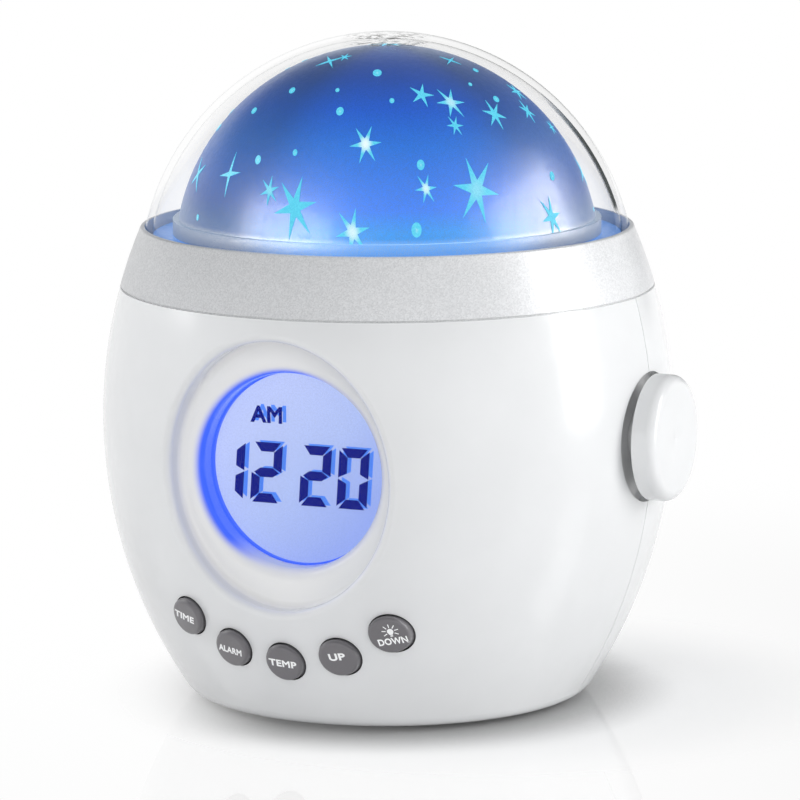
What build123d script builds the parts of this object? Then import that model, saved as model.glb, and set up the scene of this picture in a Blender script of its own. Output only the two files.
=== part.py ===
from build123d import *
import os
from math import cos, radians, sin, sqrt

# Star night light: an egg-shaped clock housing below a star dome with a clear cover.
# Millimetres. The origin is on the floor below the middle of the base, +Z is up, the
# display faces -Y and the control knob stands out along +X. Distances called forward
# run from the middle of the housing towards -Y, and those called rearward towards +Y.

# Fits
slip_gap = 0.15  # round pieces that are fixed in place
run_gap = 0.3  # round pieces that move
shaft_gap = 0.05  # round the turning shaft
screw_gap = 0.05  # round a screw in its pilot hole
snap_gap = 0.1  # between faces that snap together
cut_overrun = 8.0  # how far a cut runs past the material
half_turn = 180.0
full_turn = 360.0

# Egg housing
body_radius = 55.0  # at the waist
floor_gap = 0.8  # from the floor to the lower edge of the shells
shoulder_gap = 4.1  # from the display's dish up to the end of the shells
shell_wall = 2.2
base_corner_radius = 4.5
seam_width = 0.2  # of the line between the two shells, as deep as it is wide

# Seat of the base plate inside the lower edge of the shells
ledge_width = 4.3
ledge_thickness = 1.8
seat_depth = 3.0
seat_height = 2.0
rib_width = 1.6
rib_thickness = 1.6

# Neck of the shells, inside the collar
neck_height = 5.2
neck_wall = 2.0
neck_gap = 0.6
bead_height_gap = 3.4  # from the shoulder up to the snap bead
bead_thickness = 1.0
bead_width = 0.5

# Collar ring
collar_height = 11.6
collar_taper_width = 7.69  # from the waist's radius in to the collar's upper edge
collar_wall = 1.1
collar_lip_width = 0.75
collar_lip_thickness = 3.8
collar_rebate_height = 0.4  # shadow line above the shoulder
collar_rebate_depth = 0.5
collar_edge_radius = 0.5
snap_ledge_gap = 1.6  # from the shoulder up to the snap ledge

# Clear dome
clear_dome_height = 36.9  # above the collar
dome_wall = 1.3
clear_flange_thickness = 1.5

# Star dome
star_top_gap = 1.2  # below the clear dome
star_wall = 1.4
star_seat_height = 2.5  # of its seat above the seat of the clear dome
star_flange_thickness = 1.2
star_flange_width = 3.8
star_bead_height = 3.1
star_bead_width = 1.1

# Lamp deck and its lamps
deck_depth = 3.8  # from the neck's top to the underside of the deck's floor
deck_floor_thickness = 1.8
deck_seat_width = 3.9
deck_slope_width = 7.0
lamp_count = 3
lamp_circle_radius = 7.0
lamp_radius = 2.5
lamp_height = 8.6
lamp_rim_radius = 2.9
lamp_rim_height = 1.0
lamp_first_angle = 90.0
standoff_height = 2.6
standoff_radius = 2.6
standoff_circle_radius = 13.0
standoff_count = 3
standoff_first_angle = 30.0
led_board_margin = 4.0  # outside the standoffs' circle
board_thickness = 1.6

# Display
display_radius = 18.4  # of the opening
display_lip_radius = 2.6
dish_side_width = 1.3  # from the display's lip out to the dish's left and right
dish_end_width = 4.5  # and out to its upper and lower end
dish_fillet_radius = 1.2
dish_depth = 5.1  # in from the part of the dish's rim that stands least far forward
display_tube_wall = 2.6
lcd_depth = 6.7  # from the floor of the dish back to the panel, at least
lcd_view_inset_width = 0.25
lcd_side_margin = 1.8
lcd_end_margin = 0.5
lcd_thickness = 1.8
lcd_frame_wall = 1.0
lcd_frame_lip_thickness = 0.9
window_thickness = 1.2
backlight_thickness = 5.0

# Main board
board_side_margin = 3.85  # outside the display's frame
board_end_margin = 1.2  # beyond the upper boss and the lowest button
board_corner_radius = 8.0
board_boss_radius = 2.4
board_boss_spacing = 11.5  # of the two lower bosses from the middle
board_boss_gap = 0.75  # from the display's frame
chip_width = 12.0
chip_thickness = 2.2
chip_offset = 9.0  # below the display's centre
sensor_width = 4.0
sensor_height = 4.6
sensor_thickness = 3.2
sensor_side_offset = 17.0
sensor_height_offset = 20.0

# Buttons on an arc round the display
button_names = ("time", "alarm", "temperature", "up", "down")
button_row_height = 14.6  # of the lowest button's centre
button_arc_gap = 10.05  # from the display's dish to the buttons' arc
button_step_angle = 17.9
button_radius = 3.65
button_proud_height = 1.5
button_edge_radius = 0.7
button_flange_radius = 5.0
button_flange_thickness = 1.0
button_stem_radius = 2.2
button_travel_length = 1.0
button_rest_gap = 0.1
button_wall_gap = 1.0  # from the flanges to the wall in front of them, at least
button_tube_wall = 1.6
keypad_web_thickness = 0.8
keypad_collar_height = 2.0
keypad_bore_radius = 2.8
keypad_collar_radius = 3.8
keypad_margin = 1.0

# Control knob and dimmer
knob_drop = 0.7  # of its axis below the waist
knob_radius = 12.0
knob_thickness = 4.6
knob_gap = 0.4
knob_edge_radius = 1.9
knob_dish_radius = 7.8
knob_dish_depth = 0.45
knob_back_wall = 1.8
knob_back_depth = 2.2
knob_stem_radius = 4.9
knob_stem_length = 11.0
knob_seat_gap = 0.4  # round the knob, to the wall of its seat in the housing
knob_seat_depth = 3.0  # from the waist's radius in to the floor of the seat
knob_seat_wall = 1.8
shaft_radius = 3.0
shaft_flat_offset = 1.5  # from the shaft's middle
shaft_grip_length = 8.0
shaft_can_length = 5.0
can_radius = 8.0
can_depth = 7.0
bushing_radius = 3.6
bushing_length = 2.5
dimmer_board_width = 24.0
dimmer_board_height = 22.0
slot_grip_depth = 2.5
slot_rib_thickness = 1.6
slot_rib_height = 16.0

# Speaker in the back
speaker_offset = 15.6  # below the waist
speaker_radius = 14.0
speaker_wall_gap = 0.8
speaker_lip_width = 1.4
speaker_rim_thickness = 1.2
speaker_depth = 5.0
speaker_base_radius = 9.5
speaker_skin_thickness = 1.0
magnet_radius = 7.5
magnet_depth = 4.0
cone_edge_width = 1.6
cone_depth = 2.6
cone_cap_radius = 3.2
cone_skin_thickness = 0.5
speaker_tube_wall = 1.8
speaker_tube_depth = 6.5
grille_hole_radius = 1.1
grille_ring_spacing = 4.2
grille_ring_counts = (1, 6, 12)

# Screws
upper_screw_spacing = 34.0  # from the middle
upper_screw_offset = 7.3  # below the shoulder
lower_screw_gap = 6.8  # from the battery bay
lower_screw_height = 14.5
housing_boss_radius = 3.8
well_wall = 1.6
well_floor_depth = 6.0
screw_radius = 1.45
screw_length = 8.0  # in the front shell
screw_tip_gap = 2.0
screw_head_radius = 2.8
screw_head_height = 1.8
small_screw_radius = 1.05
small_screw_length = 6.5
small_head_radius = 2.0
small_head_height = 1.3
deck_screw_length = 3.2

# Base plate and foot ring
base_inset_height = 0.2  # of the base plate's underside above the shells' edge
foot_margin = 0.9
foot_width = 2.7
foot_gap = 1.1  # from the battery door
foot_seat_depth = 1.0

# Battery bay, door, cells and contacts
cell_radius = 5.25
cell_length = 44.5
cell_nub_radius = 1.9
cell_nub_length = 1.0
cell_gap = 0.4
cell_rows = (-1, 0, 1)
contact_thickness = 0.4
contact_width = 7.0
contact_height = 8.0
leaf_width = 4.0
leaf_depth = 2.7
bay_side_gap = 0.45
bay_head_gap = 0.5
bay_wall = 1.4
bay_roof_thickness = 1.4
door_overlap_width = 1.2
door_thickness = 1.6
door_corner_radius = 5.0
door_screw_offset = 1.0  # from the door's end out to the screw
door_lug_radius = 3.3
door_boss_radius = 2.8
door_boss_height = 6.4
door_screw_length = 5.0
door_head_radius = 2.1
door_head_depth = 0.9

# The battery bay sets the door, and from the door out the foot ring, ledge and base
cell_spacing = 2 * cell_radius + cell_gap
bay_length = cell_length + contact_thickness + leaf_depth
bay_width = (len(cell_rows) - 1) * cell_spacing + 2 * (cell_radius + bay_side_gap)
door_length = bay_length + 2 * door_overlap_width
door_width = bay_width + 2 * door_overlap_width
door_screw_x = door_length / 2 + door_screw_offset
door_screw_places = [(-door_screw_x, 0), (door_screw_x, 0)]
foot_inner_radius = door_screw_x + door_lug_radius + foot_gap
foot_outer_radius = foot_inner_radius + foot_width
ledge_radius = foot_outer_radius + foot_margin
base_radius = ledge_radius + ledge_width
base_face_height = floor_gap + base_inset_height
door_top_height = base_face_height + door_thickness
door_seat_height = door_top_height + slip_gap
cell_height = door_seat_height + cell_radius
bay_top_height = cell_height + cell_radius + bay_head_gap
plus_end = bay_length / 2 - contact_thickness
minus_end = plus_end - cell_length

# The buttons and the display set the heights of the housing
display_edge_radius = display_radius + display_lip_radius
dish_side_radius = display_edge_radius + dish_side_width
dish_end_radius = display_edge_radius + dish_end_width
button_arc_radius = dish_end_radius + button_arc_gap
display_height = button_row_height + button_arc_radius
shoulder_height = display_height + dish_end_radius + shoulder_gap
collar_top_height = shoulder_height + collar_height
collar_top_radius = body_radius - collar_taper_width

# One arc runs up the side from the base over the waist to the collar's upper edge
base_run = body_radius - base_radius
collar_run = collar_taper_width
arc_a = base_run - collar_run
arc_b = collar_run * floor_gap - base_run * collar_top_height
arc_c = base_run * collar_top_height**2 - collar_run * floor_gap**2 - base_run * collar_run * arc_a
waist_height = -arc_c / (arc_b - sqrt(arc_b**2 - arc_a * arc_c))
side_arc_radius = (base_run**2 + (waist_height - floor_gap) ** 2) / (2 * base_run)


def side_radius(height, inset=0):
    arc = side_arc_radius - inset
    return body_radius - side_arc_radius + sqrt(arc**2 - (height - waist_height) ** 2)


def side_point(height, inset=0):
    return (side_radius(height, inset), height)


def side_arc(low, high, inset=0):
    middle = (low + high) / 2
    return ThreePointArc(side_point(low, inset), side_point(middle, inset), side_point(high, inset))


def ring_places(radius, count, first_angle=0):
    turns = [radians(first_angle + full_turn * number / count) for number in range(count)]
    return [(radius * cos(turn), radius * sin(turn)) for turn in turns]


# Heights, distances and radii that follow from the sizes above
seat_radius = ledge_radius + seat_depth
rib_radius = seat_radius - rib_width
seat_low = floor_gap + ledge_thickness
seat_top = seat_low + seat_height
rib_top = seat_top + rib_thickness

lip_under_height = collar_top_height - collar_lip_thickness
neck_top = shoulder_height + neck_height
neck_radius = side_radius(neck_top, collar_wall) - neck_gap
neck_bore_radius = neck_radius - neck_wall
bead_low = shoulder_height + bead_height_gap
bead_top = bead_low + bead_thickness

clear_base_radius = collar_top_radius - collar_lip_width - slip_gap
clear_bore_radius = clear_base_radius - dome_wall
clear_top = collar_top_height + clear_dome_height
clear_seat = lip_under_height - snap_gap - clear_flange_thickness
clear_flange_radius = side_radius(lip_under_height, collar_wall) - run_gap
clear_sphere_radius = (clear_base_radius**2 + clear_dome_height**2) / (2 * clear_dome_height)
clear_centre = clear_top - clear_sphere_radius
clear_inner_radius = clear_sphere_radius - dome_wall
clear_bore_top = clear_centre + sqrt(clear_inner_radius**2 - clear_bore_radius**2)

star_seat = clear_seat + star_seat_height
star_flange_radius = clear_bore_radius - slip_gap
star_bead_radius = star_flange_radius - star_flange_width
star_flange_top = star_seat + star_flange_thickness
star_bead_top = star_flange_top + star_bead_height
star_base_radius = star_bead_radius - star_bead_width
star_top = clear_top - dome_wall - star_top_gap
star_rise = star_top - star_bead_top
star_sphere_radius = (star_base_radius**2 + star_rise**2) / (2 * star_rise)
star_centre = star_top - star_sphere_radius

deck_low = neck_top - deck_depth
deck_top = deck_low + deck_floor_thickness
deck_rim_radius = side_radius(clear_seat, collar_wall) - run_gap
deck_seat_radius = star_flange_radius - deck_seat_width
led_board_top = deck_low - standoff_height
led_board_radius = standoff_circle_radius + led_board_margin
lamp_places = ring_places(lamp_circle_radius, lamp_count, lamp_first_angle)
standoff_places = ring_places(standoff_circle_radius, standoff_count, standoff_first_angle)

button_turns = [
    radians(button_step_angle * (number - len(button_names) // 2)) for number in range(len(button_names))
]
button_places = [
    (button_arc_radius * sin(turn), display_height - button_arc_radius * cos(turn))
    for turn in button_turns
]
button_hole_radius = button_radius + run_gap

rim_side = sqrt(body_radius**2 - dish_side_radius**2)
rim_low = side_radius(display_height - dish_end_radius)
dish_floor = min(rim_side, rim_low) - dish_depth

# The board lies as far forward as the display and the outer buttons' flanges let it
keypad_height = keypad_web_thickness + keypad_collar_height
button_stack = keypad_height + button_travel_length + run_gap + button_flange_thickness
flange_corner = button_flange_radius / sqrt(2)
outer_button_x, outer_button_height = button_places[-1]
button_wall_radius = side_radius(outer_button_height - flange_corner, shell_wall)
button_wall = sqrt(button_wall_radius**2 - (outer_button_x + flange_corner) ** 2)
display_board_front = dish_floor - lcd_depth - lcd_thickness - backlight_thickness
board_front = min(display_board_front, button_wall - button_wall_gap - button_stack)
board_back = board_front - board_thickness
keypad_top = board_front + keypad_height
button_flange_back = keypad_top + button_travel_length + run_gap
button_flange_front = button_flange_back + button_flange_thickness
button_stem_end = board_front + button_travel_length + run_gap
button_tube_end = button_flange_front + button_rest_gap

lcd_back = board_front + backlight_thickness
lcd_front = lcd_back + lcd_thickness
lcd_view_radius = display_radius - lcd_view_inset_width
lcd_width = 2 * (lcd_view_radius + lcd_side_margin)
lcd_height = 2 * (lcd_view_radius + lcd_end_margin)
lcd_frame_front = lcd_front + slip_gap + lcd_frame_lip_thickness
lcd_frame_width = lcd_width + 2 * (slip_gap + lcd_frame_wall)
lcd_frame_height = lcd_height + 2 * (slip_gap + lcd_frame_wall)
display_tube_end = lcd_frame_front + slip_gap
display_tube_radius = display_radius + display_tube_wall

board_boss_drop = lcd_frame_height / 2 + board_boss_gap + board_boss_radius
board_screw_places = [
    (0, display_height + board_boss_drop),
    (-board_boss_spacing, display_height - board_boss_drop),
    (board_boss_spacing, display_height - board_boss_drop),
]
board_width = lcd_frame_width + 2 * board_side_margin
board_low = button_row_height - keypad_collar_radius - board_end_margin
board_top = display_height + board_boss_drop + board_boss_radius + board_end_margin

knob_height = waist_height - knob_drop
knob_seat_radius = knob_radius + knob_seat_gap
knob_seat_floor = body_radius - knob_seat_depth
knob_back = body_radius + knob_gap
knob_front = knob_back + knob_thickness
knob_stem_end = knob_back - knob_stem_length
bushing_end = knob_stem_end - run_gap
can_front = bushing_end - bushing_length
can_back = can_front - can_depth
dimmer_board_back = can_back - board_thickness
shaft_end = knob_stem_end + shaft_grip_length
shaft_start = can_front - shaft_can_length
slot_reach = dimmer_board_width / 2 - slot_grip_depth
slot_rib_places = [
    (dimmer_board_back - slip_gap - slot_rib_thickness / 2, knob_height),
    (can_back + slip_gap + slot_rib_thickness / 2, knob_height),
]

lower_screw_spacing = bay_length / 2 + bay_wall + lower_screw_gap
housing_screw_places = [
    (side * spacing, height)
    for side in (-1, 1)
    for spacing, height in (
        (upper_screw_spacing, shoulder_height - upper_screw_offset),
        (lower_screw_spacing, lower_screw_height),
    )
]
well_radius = screw_head_radius + run_gap
speaker_height = waist_height - speaker_offset
speaker_front = side_radius(speaker_height - speaker_radius, shell_wall) - speaker_wall_gap
speaker_back = speaker_front - speaker_depth
speaker_tube_radius = speaker_radius + slip_gap + speaker_tube_wall
cone_radius = speaker_radius - cone_edge_width
grille_places = [
    place
    for ring, count in enumerate(grille_ring_counts)
    for place in ring_places(ring * grille_ring_spacing, count)
]

knob_axis = Axis((0, 0, knob_height), (1, 0, 0))
display_axis = Axis((0, 0, display_height), (0, 1, 0))
speaker_axis = Axis((0, 0, speaker_height), (0, 1, 0))
display_plane = Plane(origin=(0, 0, display_height), x_dir=(1, 0, 0), z_dir=(0, 0, -1))
knob_plane = Plane(origin=(0, 0, knob_height), x_dir=(1, 0, 0), z_dir=(0, -1, 0))
speaker_plane = Plane(origin=(0, 0, speaker_height), x_dir=(1, 0, 0), z_dir=(0, 0, 1))

os.makedirs("parts", exist_ok=True)


# Cut through one half of the shells' wall, base seat, shoulder and neck
def shell_section():
    with BuildSketch(Plane.XZ) as section:
        with BuildLine():
            outer = side_arc(floor_gap, shoulder_height)
            inner = side_arc(rib_top, shoulder_height - shell_wall, shell_wall)
            Polyline(
                outer @ 1,
                (neck_radius, shoulder_height),
                (neck_radius, bead_low),
                (neck_radius + bead_width, bead_low),
                (neck_radius + bead_width, bead_top),
                (neck_radius, bead_top),
                (neck_radius, neck_top),
                (neck_bore_radius, neck_top),
                (neck_bore_radius, shoulder_height - shell_wall),
                inner @ 1,
            )
            Polyline(
                inner @ 0,
                (rib_radius, rib_top),
                (rib_radius, seat_top),
                (seat_radius, seat_top),
                (seat_radius, seat_low),
                (ledge_radius, seat_low),
                (ledge_radius, floor_gap),
                outer @ 0,
            )
        make_face()
        corner = section.vertices().sort_by_distance((side_radius(floor_gap), floor_gap))[0]
        fillet(corner, base_corner_radius)
    return section.sketch


# Solid egg that ends inside the wall, to trim the bosses and ribs of the shells
with BuildPart() as egg_core:
    with BuildSketch(Plane.XZ):
        with BuildLine():
            core_side = side_arc(rib_top, shoulder_height - shell_wall, shell_wall / 2)
            Polyline(core_side @ 1, (0, shoulder_height - shell_wall), (0, rib_top), core_side @ 0)
        make_face()
    revolve(axis=Axis.Z)

# Egg that stands proud of the housing, for the faces of the buttons
with BuildPart() as button_egg:
    with BuildSketch(Plane.XZ):
        with BuildLine():
            proud_side = side_arc(floor_gap, shoulder_height, -button_proud_height)
            Polyline(proud_side @ 1, (0, shoulder_height), (0, floor_gap), proud_side @ 0)
        make_face()
    revolve(axis=Axis.Z)

# Thin band along the seam of the two shells
with BuildPart() as seam_band:
    with BuildSketch(Plane.XZ):
        with BuildLine():
            band_in = side_arc(seat_low, shoulder_height, seam_width)
            band_out = side_arc(seat_low, shoulder_height, -cut_overrun)
            Line(band_in @ 0, band_out @ 0)
            Line(band_in @ 1, band_out @ 1)
        make_face()
        mirror(about=Plane.YZ)
    extrude(amount=seam_width / 2, both=True)

# Half of the disc that backs the knob's seat, on one side of the seam
def knob_seat_half(side):
    reach = knob_seat_radius + knob_seat_wall
    with BuildSketch(Plane.YZ.offset(knob_seat_floor - knob_seat_wall)) as half:
        with Locations((0, knob_height)):
            Circle(reach)
            Rectangle(reach, 2 * reach, align=(side, Align.CENTER), mode=Mode.INTERSECT)
    return half.sketch


# Tubes and bosses inside the front shell
with BuildPart() as front_bosses:
    extrude(knob_seat_half(Align.MAX), amount=body_radius)
    with BuildSketch(Plane.XZ.offset(display_tube_end)):
        with Locations((0, display_height)):
            Circle(display_tube_radius)
    extrude(amount=body_radius)
    with BuildSketch(Plane.XZ.offset(dish_floor - display_tube_wall)):
        with Locations((0, display_height)):
            Ellipse(dish_side_radius + display_tube_wall, dish_end_radius + display_tube_wall)
    extrude(amount=body_radius)
    with BuildSketch(Plane.XZ.offset(button_tube_end)):
        with Locations(*button_places):
            Circle(button_hole_radius + button_tube_wall)
    extrude(amount=body_radius)
    with BuildSketch(Plane.XZ.offset(board_front)):
        with Locations(*board_screw_places):
            Circle(board_boss_radius)
    extrude(amount=body_radius)
    with BuildSketch(Plane.XZ):
        with Locations(*housing_screw_places):
            Circle(housing_boss_radius)
    extrude(amount=body_radius)
    add(egg_core.part, mode=Mode.INTERSECT)

# Front shell: half the egg with the display dish, button tubes and board bosses
with BuildPart() as front_shell:
    revolve(shell_section(), axis=Axis.Z, revolution_arc=-half_turn)
    add(front_bosses.part)
    with BuildSketch(Plane.XZ.offset(dish_floor)):
        with Locations((0, display_height)):
            Ellipse(dish_side_radius, dish_end_radius)
    extrude(amount=body_radius, mode=Mode.SUBTRACT)
    fillet(front_shell.edges(Select.LAST), dish_fillet_radius)
    with BuildSketch(display_plane):
        with BuildLine():
            lip = RadiusArc(
                (display_edge_radius, dish_floor),
                (display_radius, dish_floor - display_lip_radius),
                -display_lip_radius,
            )
            Polyline(
                lip @ 0,
                (display_edge_radius, body_radius + cut_overrun),
                (0, body_radius + cut_overrun),
                (0, display_tube_end - cut_overrun),
                (display_radius, display_tube_end - cut_overrun),
                lip @ 1,
            )
        make_face()
    revolve(axis=display_axis, mode=Mode.SUBTRACT)
    with BuildSketch(Plane.XZ.offset(button_tube_end - cut_overrun)):
        with Locations(*button_places):
            Circle(button_hole_radius)
    extrude(amount=body_radius, mode=Mode.SUBTRACT)
    with BuildSketch(Plane.XZ.offset(board_front - cut_overrun)):
        with Locations(*board_screw_places):
            Circle(small_screw_radius + screw_gap)
    extrude(amount=small_screw_length + cut_overrun, mode=Mode.SUBTRACT)
    with BuildSketch(Plane.XZ):
        with Locations(*housing_screw_places):
            Circle(screw_radius + screw_gap)
    extrude(amount=screw_length + screw_tip_gap, mode=Mode.SUBTRACT)
    with BuildSketch(Plane.YZ.offset(knob_seat_floor)):
        with Locations((0, knob_height)):
            Circle(knob_seat_radius)
    extrude(amount=knob_seat_depth + cut_overrun, mode=Mode.SUBTRACT)
    with BuildSketch(Plane.YZ.offset(knob_stem_end)):
        with Locations((0, knob_height)):
            Circle(knob_stem_radius + run_gap)
    extrude(amount=knob_stem_length + cut_overrun, mode=Mode.SUBTRACT)
    add(seam_band.part, mode=Mode.SUBTRACT)
front_shell.part.label = "front_shell"
export_step(front_shell.part, "parts/front_shell.step")

# Screw wells, speaker tube and slot ribs inside the rear shell
with BuildPart() as rear_bosses:
    extrude(knob_seat_half(Align.MIN), amount=body_radius)
    with BuildSketch(Plane.XZ):
        with Locations(*housing_screw_places):
            Circle(well_radius + well_wall)
    extrude(amount=-body_radius)
    with BuildSketch(Plane.XZ.offset(speaker_tube_depth - speaker_front)):
        with Locations((0, speaker_height)):
            Circle(speaker_tube_radius)
            Circle(speaker_radius - speaker_lip_width, mode=Mode.SUBTRACT)
    extrude(amount=-body_radius)
    with BuildSketch(Plane.XZ.offset(-slot_reach)):
        with Locations(*slot_rib_places):
            Rectangle(slot_rib_thickness, slot_rib_height)
    extrude(amount=-body_radius)
    add(egg_core.part, mode=Mode.INTERSECT)

# Rear shell: the other half, with deep screw wells and the speaker grille
with BuildPart() as rear_shell:
    revolve(shell_section(), axis=Axis.Z, revolution_arc=half_turn)
    add(rear_bosses.part)
    with BuildSketch(Plane.XZ.offset(-well_floor_depth)):
        with Locations(*housing_screw_places):
            Circle(well_radius)
    extrude(amount=-body_radius, mode=Mode.SUBTRACT)
    with BuildSketch(Plane.XZ):
        with Locations(*housing_screw_places):
            Circle(screw_radius + slip_gap)
    extrude(amount=-well_floor_depth, mode=Mode.SUBTRACT)
    with BuildSketch(Plane.XZ.offset(-speaker_front)):
        with Locations((0, speaker_height)):
            Circle(speaker_radius + slip_gap)
    extrude(amount=speaker_tube_depth, mode=Mode.SUBTRACT)
    with BuildSketch(Plane.XZ.offset(-speaker_front)):
        with Locations((0, speaker_height)):
            with Locations(*grille_places):
                Circle(grille_hole_radius)
    extrude(amount=-body_radius, mode=Mode.SUBTRACT)
    with BuildSketch(Plane.YZ.offset(knob_seat_floor)):
        with Locations((0, knob_height)):
            Circle(knob_seat_radius)
    extrude(amount=knob_seat_depth + cut_overrun, mode=Mode.SUBTRACT)
    with BuildSketch(Plane.YZ.offset(knob_stem_end)):
        with Locations((0, knob_height)):
            Circle(knob_stem_radius + run_gap)
    extrude(amount=knob_stem_length + cut_overrun, mode=Mode.SUBTRACT)
    add(seam_band.part, mode=Mode.SUBTRACT)
rear_shell.part.label = "rear_shell"
export_step(rear_shell.part, "parts/rear_shell.step")

# Base plate held in the shells' groove, with the battery bay and the door's screw bosses
with BuildPart() as base_plate:
    with BuildSketch(Plane.XY.offset(seat_low)):
        Circle(seat_radius - slip_gap)
    extrude(amount=seat_height - slip_gap)
    with BuildSketch(Plane.XY.offset(base_face_height)):
        Circle(ledge_radius - slip_gap)
    extrude(amount=seat_low - base_face_height)
    with BuildSketch(Plane.XY.offset(base_face_height)):
        Rectangle(bay_length + 2 * bay_wall, bay_width + 2 * bay_wall)
    extrude(amount=bay_top_height + bay_roof_thickness - base_face_height)
    with BuildSketch(Plane.XY.offset(base_face_height)):
        with Locations(*door_screw_places):
            Circle(door_boss_radius)
    extrude(amount=door_seat_height + door_boss_height - base_face_height)
    with BuildSketch(Plane.XY.offset(base_face_height)):
        RectangleRounded(door_length + 2 * run_gap, door_width + 2 * run_gap, door_corner_radius)
        with Locations(*door_screw_places):
            Circle(door_lug_radius + run_gap)
    extrude(amount=door_seat_height - base_face_height, mode=Mode.SUBTRACT)
    with BuildSketch(Plane.XY.offset(base_face_height)):
        Rectangle(bay_length, bay_width)
    extrude(amount=bay_top_height - base_face_height, mode=Mode.SUBTRACT)
    with BuildSketch(Plane.XY.offset(door_seat_height)):
        with Locations(*door_screw_places):
            Circle(small_screw_radius + run_gap)
    extrude(amount=door_screw_length + slip_gap, mode=Mode.SUBTRACT)
    with BuildSketch(Plane.XY.offset(base_face_height)):
        Circle(foot_outer_radius)
        Circle(foot_inner_radius, mode=Mode.SUBTRACT)
    extrude(amount=foot_seat_depth, mode=Mode.SUBTRACT)
base_plate.part.label = "base_plate"
export_step(base_plate.part, "parts/base_plate.step")

# Rubber foot ring in the groove of the base plate
with BuildPart() as foot_ring:
    with BuildSketch(Plane.XY):
        Circle(foot_outer_radius)
        Circle(foot_inner_radius, mode=Mode.SUBTRACT)
    extrude(amount=base_face_height + foot_seat_depth)
foot_ring.part.label = "foot_ring"
export_step(foot_ring.part, "parts/foot_ring.step")

# Battery door with a screw lug at each end
with BuildPart() as battery_door:
    with BuildSketch(Plane.XY.offset(base_face_height)):
        RectangleRounded(door_length, door_width, door_corner_radius)
        with Locations(*door_screw_places):
            Circle(door_lug_radius)
    extrude(amount=door_thickness)
    with BuildSketch(Plane.XY.offset(base_face_height)):
        with Locations(*door_screw_places):
            Circle(small_screw_radius + slip_gap)
    extrude(amount=door_thickness, mode=Mode.SUBTRACT)
    with BuildSketch(Plane.XY.offset(base_face_height)):
        with Locations(*door_screw_places):
            Circle(door_head_radius + slip_gap)
    extrude(amount=door_head_depth, mode=Mode.SUBTRACT)
battery_door.part.label = "battery_door"
export_step(battery_door.part, "parts/battery_door.step")

# Two captive screws of the battery door
with BuildPart() as door_screws:
    with BuildSketch(Plane.XY.offset(base_face_height)):
        with Locations(*door_screw_places):
            Circle(door_head_radius)
    extrude(amount=door_head_depth)
    with BuildSketch(Plane.XY.offset(base_face_height)):
        with Locations(*door_screw_places):
            Circle(small_screw_radius)
    extrude(amount=door_seat_height - base_face_height + door_screw_length)
door_screws.part.label = "door_screws"
export_step(door_screws.part, "parts/door_screws.step")

# Three dry cells, with every second one turned round
with BuildPart() as battery_cells:
    for row in cell_rows:
        facing = 1 - 2 * abs(row)
        with BuildSketch(Plane.YZ.offset(-facing * minus_end)):
            with Locations((row * cell_spacing, cell_height)):
                Circle(cell_radius)
        extrude(amount=-facing * (cell_length - cell_nub_length))
        with BuildSketch(Plane.YZ.offset(-facing * minus_end)):
            with Locations((row * cell_spacing, cell_height)):
                Circle(cell_nub_radius)
        extrude(amount=-facing * cell_length)
battery_cells.part.label = "battery_cells"
export_step(battery_cells.part, "parts/battery_cells.step")

# Flat plus contacts and bowed minus contacts at the ends of the bay
with BuildPart() as battery_contacts:
    for row in cell_rows:
        facing = 1 - 2 * abs(row)
        with BuildSketch(Plane.YZ.offset(-facing * bay_length / 2)):
            with Locations((row * cell_spacing, cell_height)):
                Rectangle(contact_width, contact_height)
        extrude(amount=facing * contact_thickness)
        with BuildSketch(Plane.XZ.offset(-row * cell_spacing)):
            with BuildLine():
                wall_x = facing * bay_length / 2
                crown_x = -facing * minus_end
                skin = facing * contact_thickness
                leaf_low = cell_height - contact_height / 2
                leaf_high = cell_height + contact_height / 2
                bow = ThreePointArc((wall_x, leaf_low), (crown_x, cell_height), (wall_x, leaf_high))
                back = ThreePointArc(
                    (wall_x, leaf_low + contact_thickness),
                    (crown_x + skin, cell_height),
                    (wall_x, leaf_high - contact_thickness),
                )
                Line(bow @ 0, back @ 0)
                Line(bow @ 1, back @ 1)
            make_face()
        extrude(amount=leaf_width / 2, both=True)
battery_contacts.part.label = "battery_contacts"
export_step(battery_contacts.part, "parts/battery_contacts.step")

# Collar ring that snaps over the neck and holds both domes down
with BuildPart() as collar_ring:
    with BuildSketch(Plane.XZ) as collar_section:
        with BuildLine():
            collar_side = side_arc(shoulder_height + collar_rebate_height, collar_top_height)
            snap_low = shoulder_height + snap_ledge_gap
            snap_top = bead_low - snap_gap
            collar_foot = shoulder_height + collar_rebate_height
            inner_low = side_arc(shoulder_height, snap_low, collar_wall)
            inner_high = side_arc(snap_top, lip_under_height, collar_wall)
            Polyline(
                collar_side @ 1,
                (clear_base_radius + slip_gap, collar_top_height),
                (clear_base_radius + slip_gap, lip_under_height),
                inner_high @ 1,
            )
            Polyline(
                inner_high @ 0,
                (neck_radius + slip_gap, snap_top),
                (neck_radius + slip_gap, snap_low),
                inner_low @ 1,
            )
            Polyline(
                inner_low @ 0,
                (side_radius(collar_foot) - collar_rebate_depth, shoulder_height),
                (side_radius(collar_foot) - collar_rebate_depth, collar_foot),
                collar_side @ 0,
            )
        make_face()
        top_corner = collar_section.vertices().sort_by_distance(side_point(collar_top_height))[0]
        fillet(top_corner, collar_edge_radius)
    revolve(axis=Axis.Z)
collar_ring.part.label = "collar_ring"
export_step(collar_ring.part, "parts/collar_ring.step")


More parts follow.
